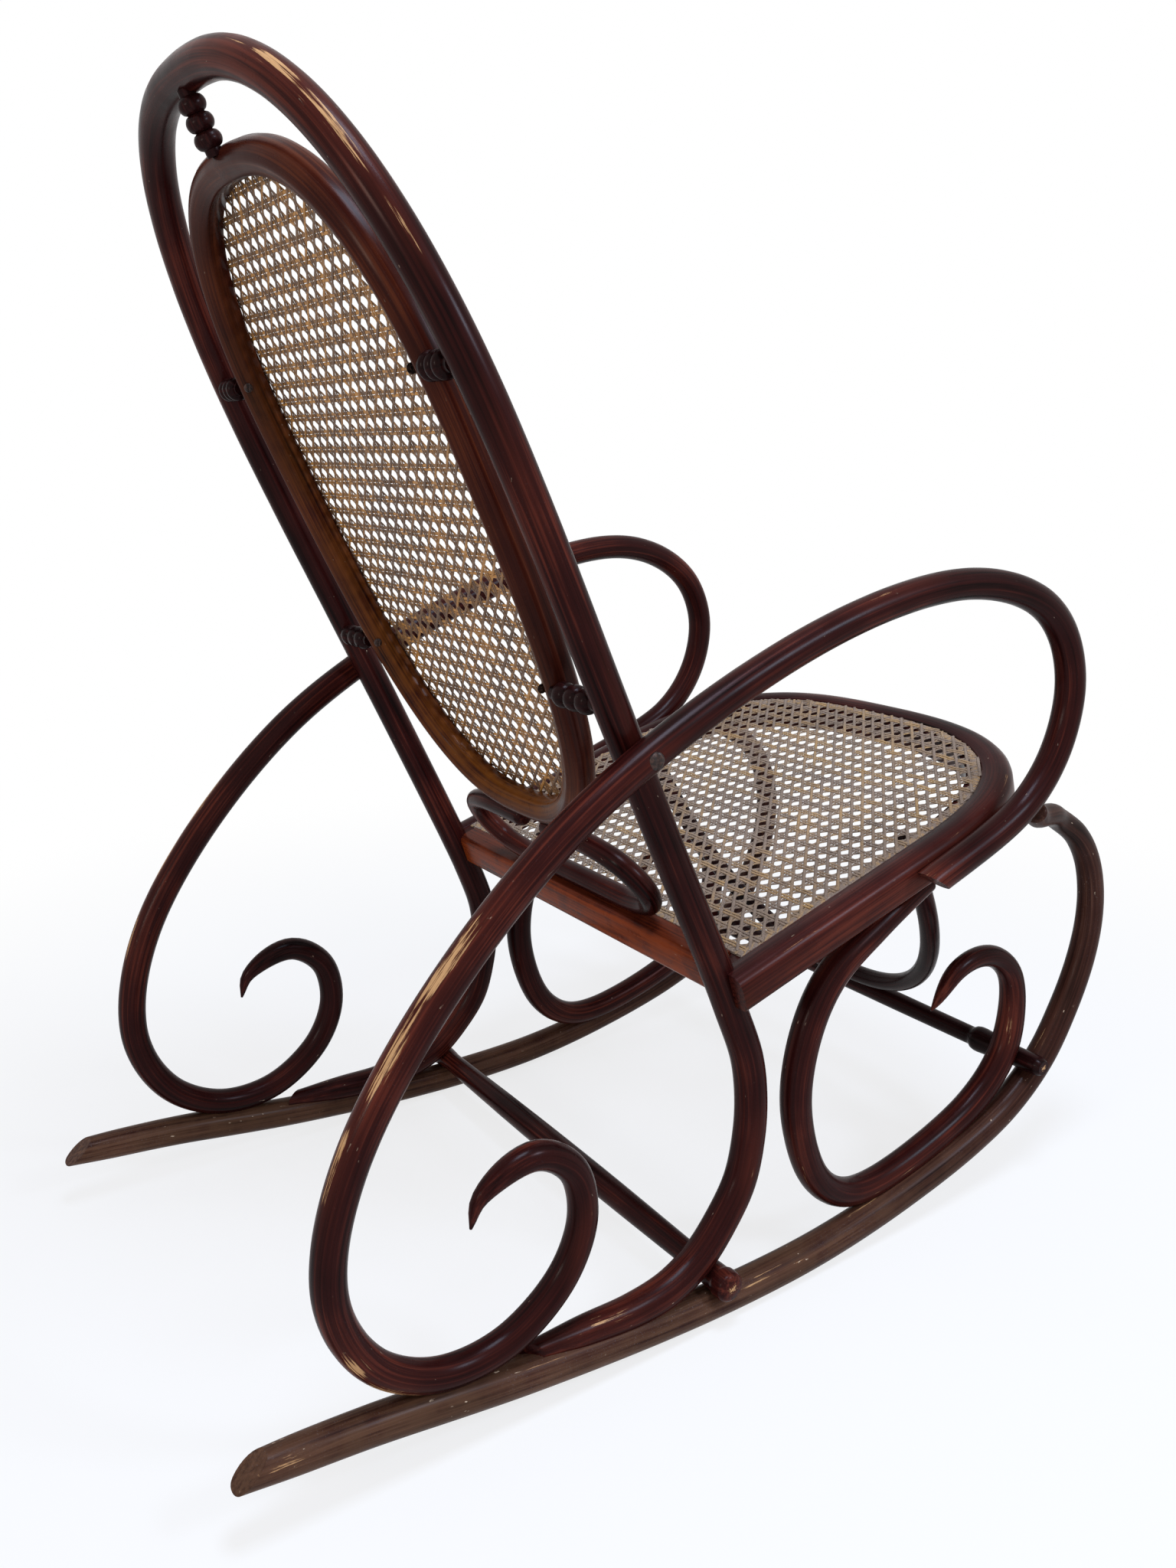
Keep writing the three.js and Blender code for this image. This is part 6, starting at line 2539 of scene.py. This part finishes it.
@dataclass
class Studio:
    """A pale floor, soft light and the camera.

    Attributes:
        camera_place: The camera as drawn.
        look: Its viewing direction as drawn.
        up: Its upward direction as drawn.
        focal_pixels: Focal length in pixels of the 1536 by 2048 photograph.
        image_height: Height of the photograph in pixels.
        sensor: Height of the camera's sensor in millimetres.
        floor_half: Half the floor's side.
        floor_colour: The floor's paint.
        white: Colour of the surroundings as they are seen.
        room: Colour of the light that they give.
        lamps: The lamps.
    """

    camera_place: Place = (-0.978, 0.206, 0.7214)
    look: Place = (0.7997, -0.5498, -0.2411)
    up: Place = (0.2106, -0.1191, 0.9703)
    focal_pixels: float = 1640.0
    image_height: float = 2048.0
    sensor: float = 36.0
    floor_half: float = 14.0
    floor_colour: Colour = (0.88, 0.88, 0.89, 1.0)
    white: Colour = (1.0, 1.0, 1.0, 1.0)
    room: Colour = (0.84, 0.88, 1.0, 1.0)
    lamps: Sequence[Lamp] = (
        Lamp("overhead", (-0.7, 0.1, 2.5), (0.0, 0.0, 0.45), 0.66, 35.0, (0.66, 0.78, 1.0)),
        Lamp("window", (-2.0, -1.0, 1.9), (0.0, 0.0, 0.45), 0.5, 26.0, (0.7, 0.8, 1.0)),
        Lamp("fill", (-0.6, 2.4, 1.1), (0.0, 0.1, 0.5), 0.45, 9.0, (1.0, 0.9, 0.78)),
    )

    def make_camera(self) -> None:
        """Sets the camera at the photograph's viewing angle."""
        data = bpy.data.cameras.new("camera")
        data.sensor_fit = "AUTO"
        data.sensor_width = self.sensor
        data.lens = self.focal_pixels / self.image_height * self.sensor
        data.clip_start, data.clip_end = 0.02, 60.0
        rotation = STANCE.matrix().to_3x3()
        back = -(rotation @ Vector(self.look)).normalized()
        side = (rotation @ Vector(self.up)).cross(back).normalized()
        axes = Matrix((side, back.cross(side), back)).transposed().to_4x4()
        camera = link("camera", data)
        camera.matrix_world = Matrix.Translation(STANCE.matrix() @ Vector(self.camera_place)) @ axes
        bpy.context.scene.camera = camera

    def seen(self, g: Graph) -> Socket:
        """Nodes that tell what the camera sees from what only gives light.

        Args:
            g: The tree that gets them.

        Returns:
            1 on rays from the camera and their reflections, and 0 on the others.
        """
        rays = g.add("ShaderNodeLightPath").outputs
        bounced = g.math("MAXIMUM", rays["Is Glossy Ray"], rays["Is Transmission Ray"])
        return g.math("MAXIMUM", rays["Is Camera Ray"], bounced)

    def make_floor(self) -> None:
        """Lays a pale floor that keeps the chair's shadow and fades to white."""
        half = self.floor_half
        mesh = bpy.data.meshes.new("floor")
        corners = [(-half, -half, 0), (half, -half, 0), (half, half, 0), (-half, half, 0)]
        mesh.from_pydata(corners, [], [(0, 1, 2, 3)])
        material = bpy.data.materials.new("pale_floor")
        g = Graph.emptied(material)
        far = g.add("ShaderNodeVectorMath", {0: g.here()}, operation="LENGTH").outputs["Value"]
        fade = g.ramp(far, 0.5, 1.6, 0.76, 1.0)
        white = g.get("ShaderNodeEmission", {"Color": self.white, "Strength": 1.0})
        paint = g.get("ShaderNodeBsdfDiffuse", {"Color": self.floor_colour})
        blend = g.get("ShaderNodeMixShader", {0: g.times(fade, self.seen(g)), 1: paint, 2: white})
        g.add("ShaderNodeOutputMaterial", {0: blend})
        mesh.materials.append(material)
        link("floor", mesh)

    def make_light(self) -> None:
        """Sets the world and the lamps."""
        world = bpy.data.worlds.new("studio")
        bpy.context.scene.world = world
        g = Graph.emptied(world)
        room = g.get("ShaderNodeBackground", {"Color": self.room, "Strength": 0.5})
        white = g.get("ShaderNodeBackground", {"Color": self.white, "Strength": 1.0})
        blend = g.get("ShaderNodeMixShader", {0: self.seen(g), 1: room, 2: white})
        g.add("ShaderNodeOutputWorld", {0: blend})
        for lamp in self.lamps:
            lamp.make()

    def make(self) -> None:
        """Builds the studio."""
        bpy.context.scene.view_settings.view_transform = "Standard"
        self.make_camera()
        self.make_floor()
        self.make_light()


def main() -> None:
    """Builds the chair and the studio."""
    logging.basicConfig(level=logging.INFO, format="%(name)s: %(message)s")
    Studio().make()
    finishes = Finishes()
    rockers, arms = Rockers(), Arms()
    rockers.make(finishes, arms)
    arms.make(finishes, rockers)
    FrontScrolls().make(finishes, rockers)
    BackHoop().make(finishes, rockers)
    weave = Weave()
    seat, oval, stretchers, bows = Seat(), OvalBack(), Stretchers(), Bows()
    seat.make(finishes, weave)
    oval.make(finishes, weave)
    stretchers.make(finishes)
    bows.make_rear(finishes, oval, seat)
    bows.make_front(finishes, stretchers)
    Fasteners().make(finishes)
    for name in ("seat_dowel_left", "seat_dowel_right"):
        dowel = frame["nodes"][name]
        dowel.data.materials.clear()
        dowel.data.materials.append(finishes.dark)


if __name__ == "__main__":
    main()
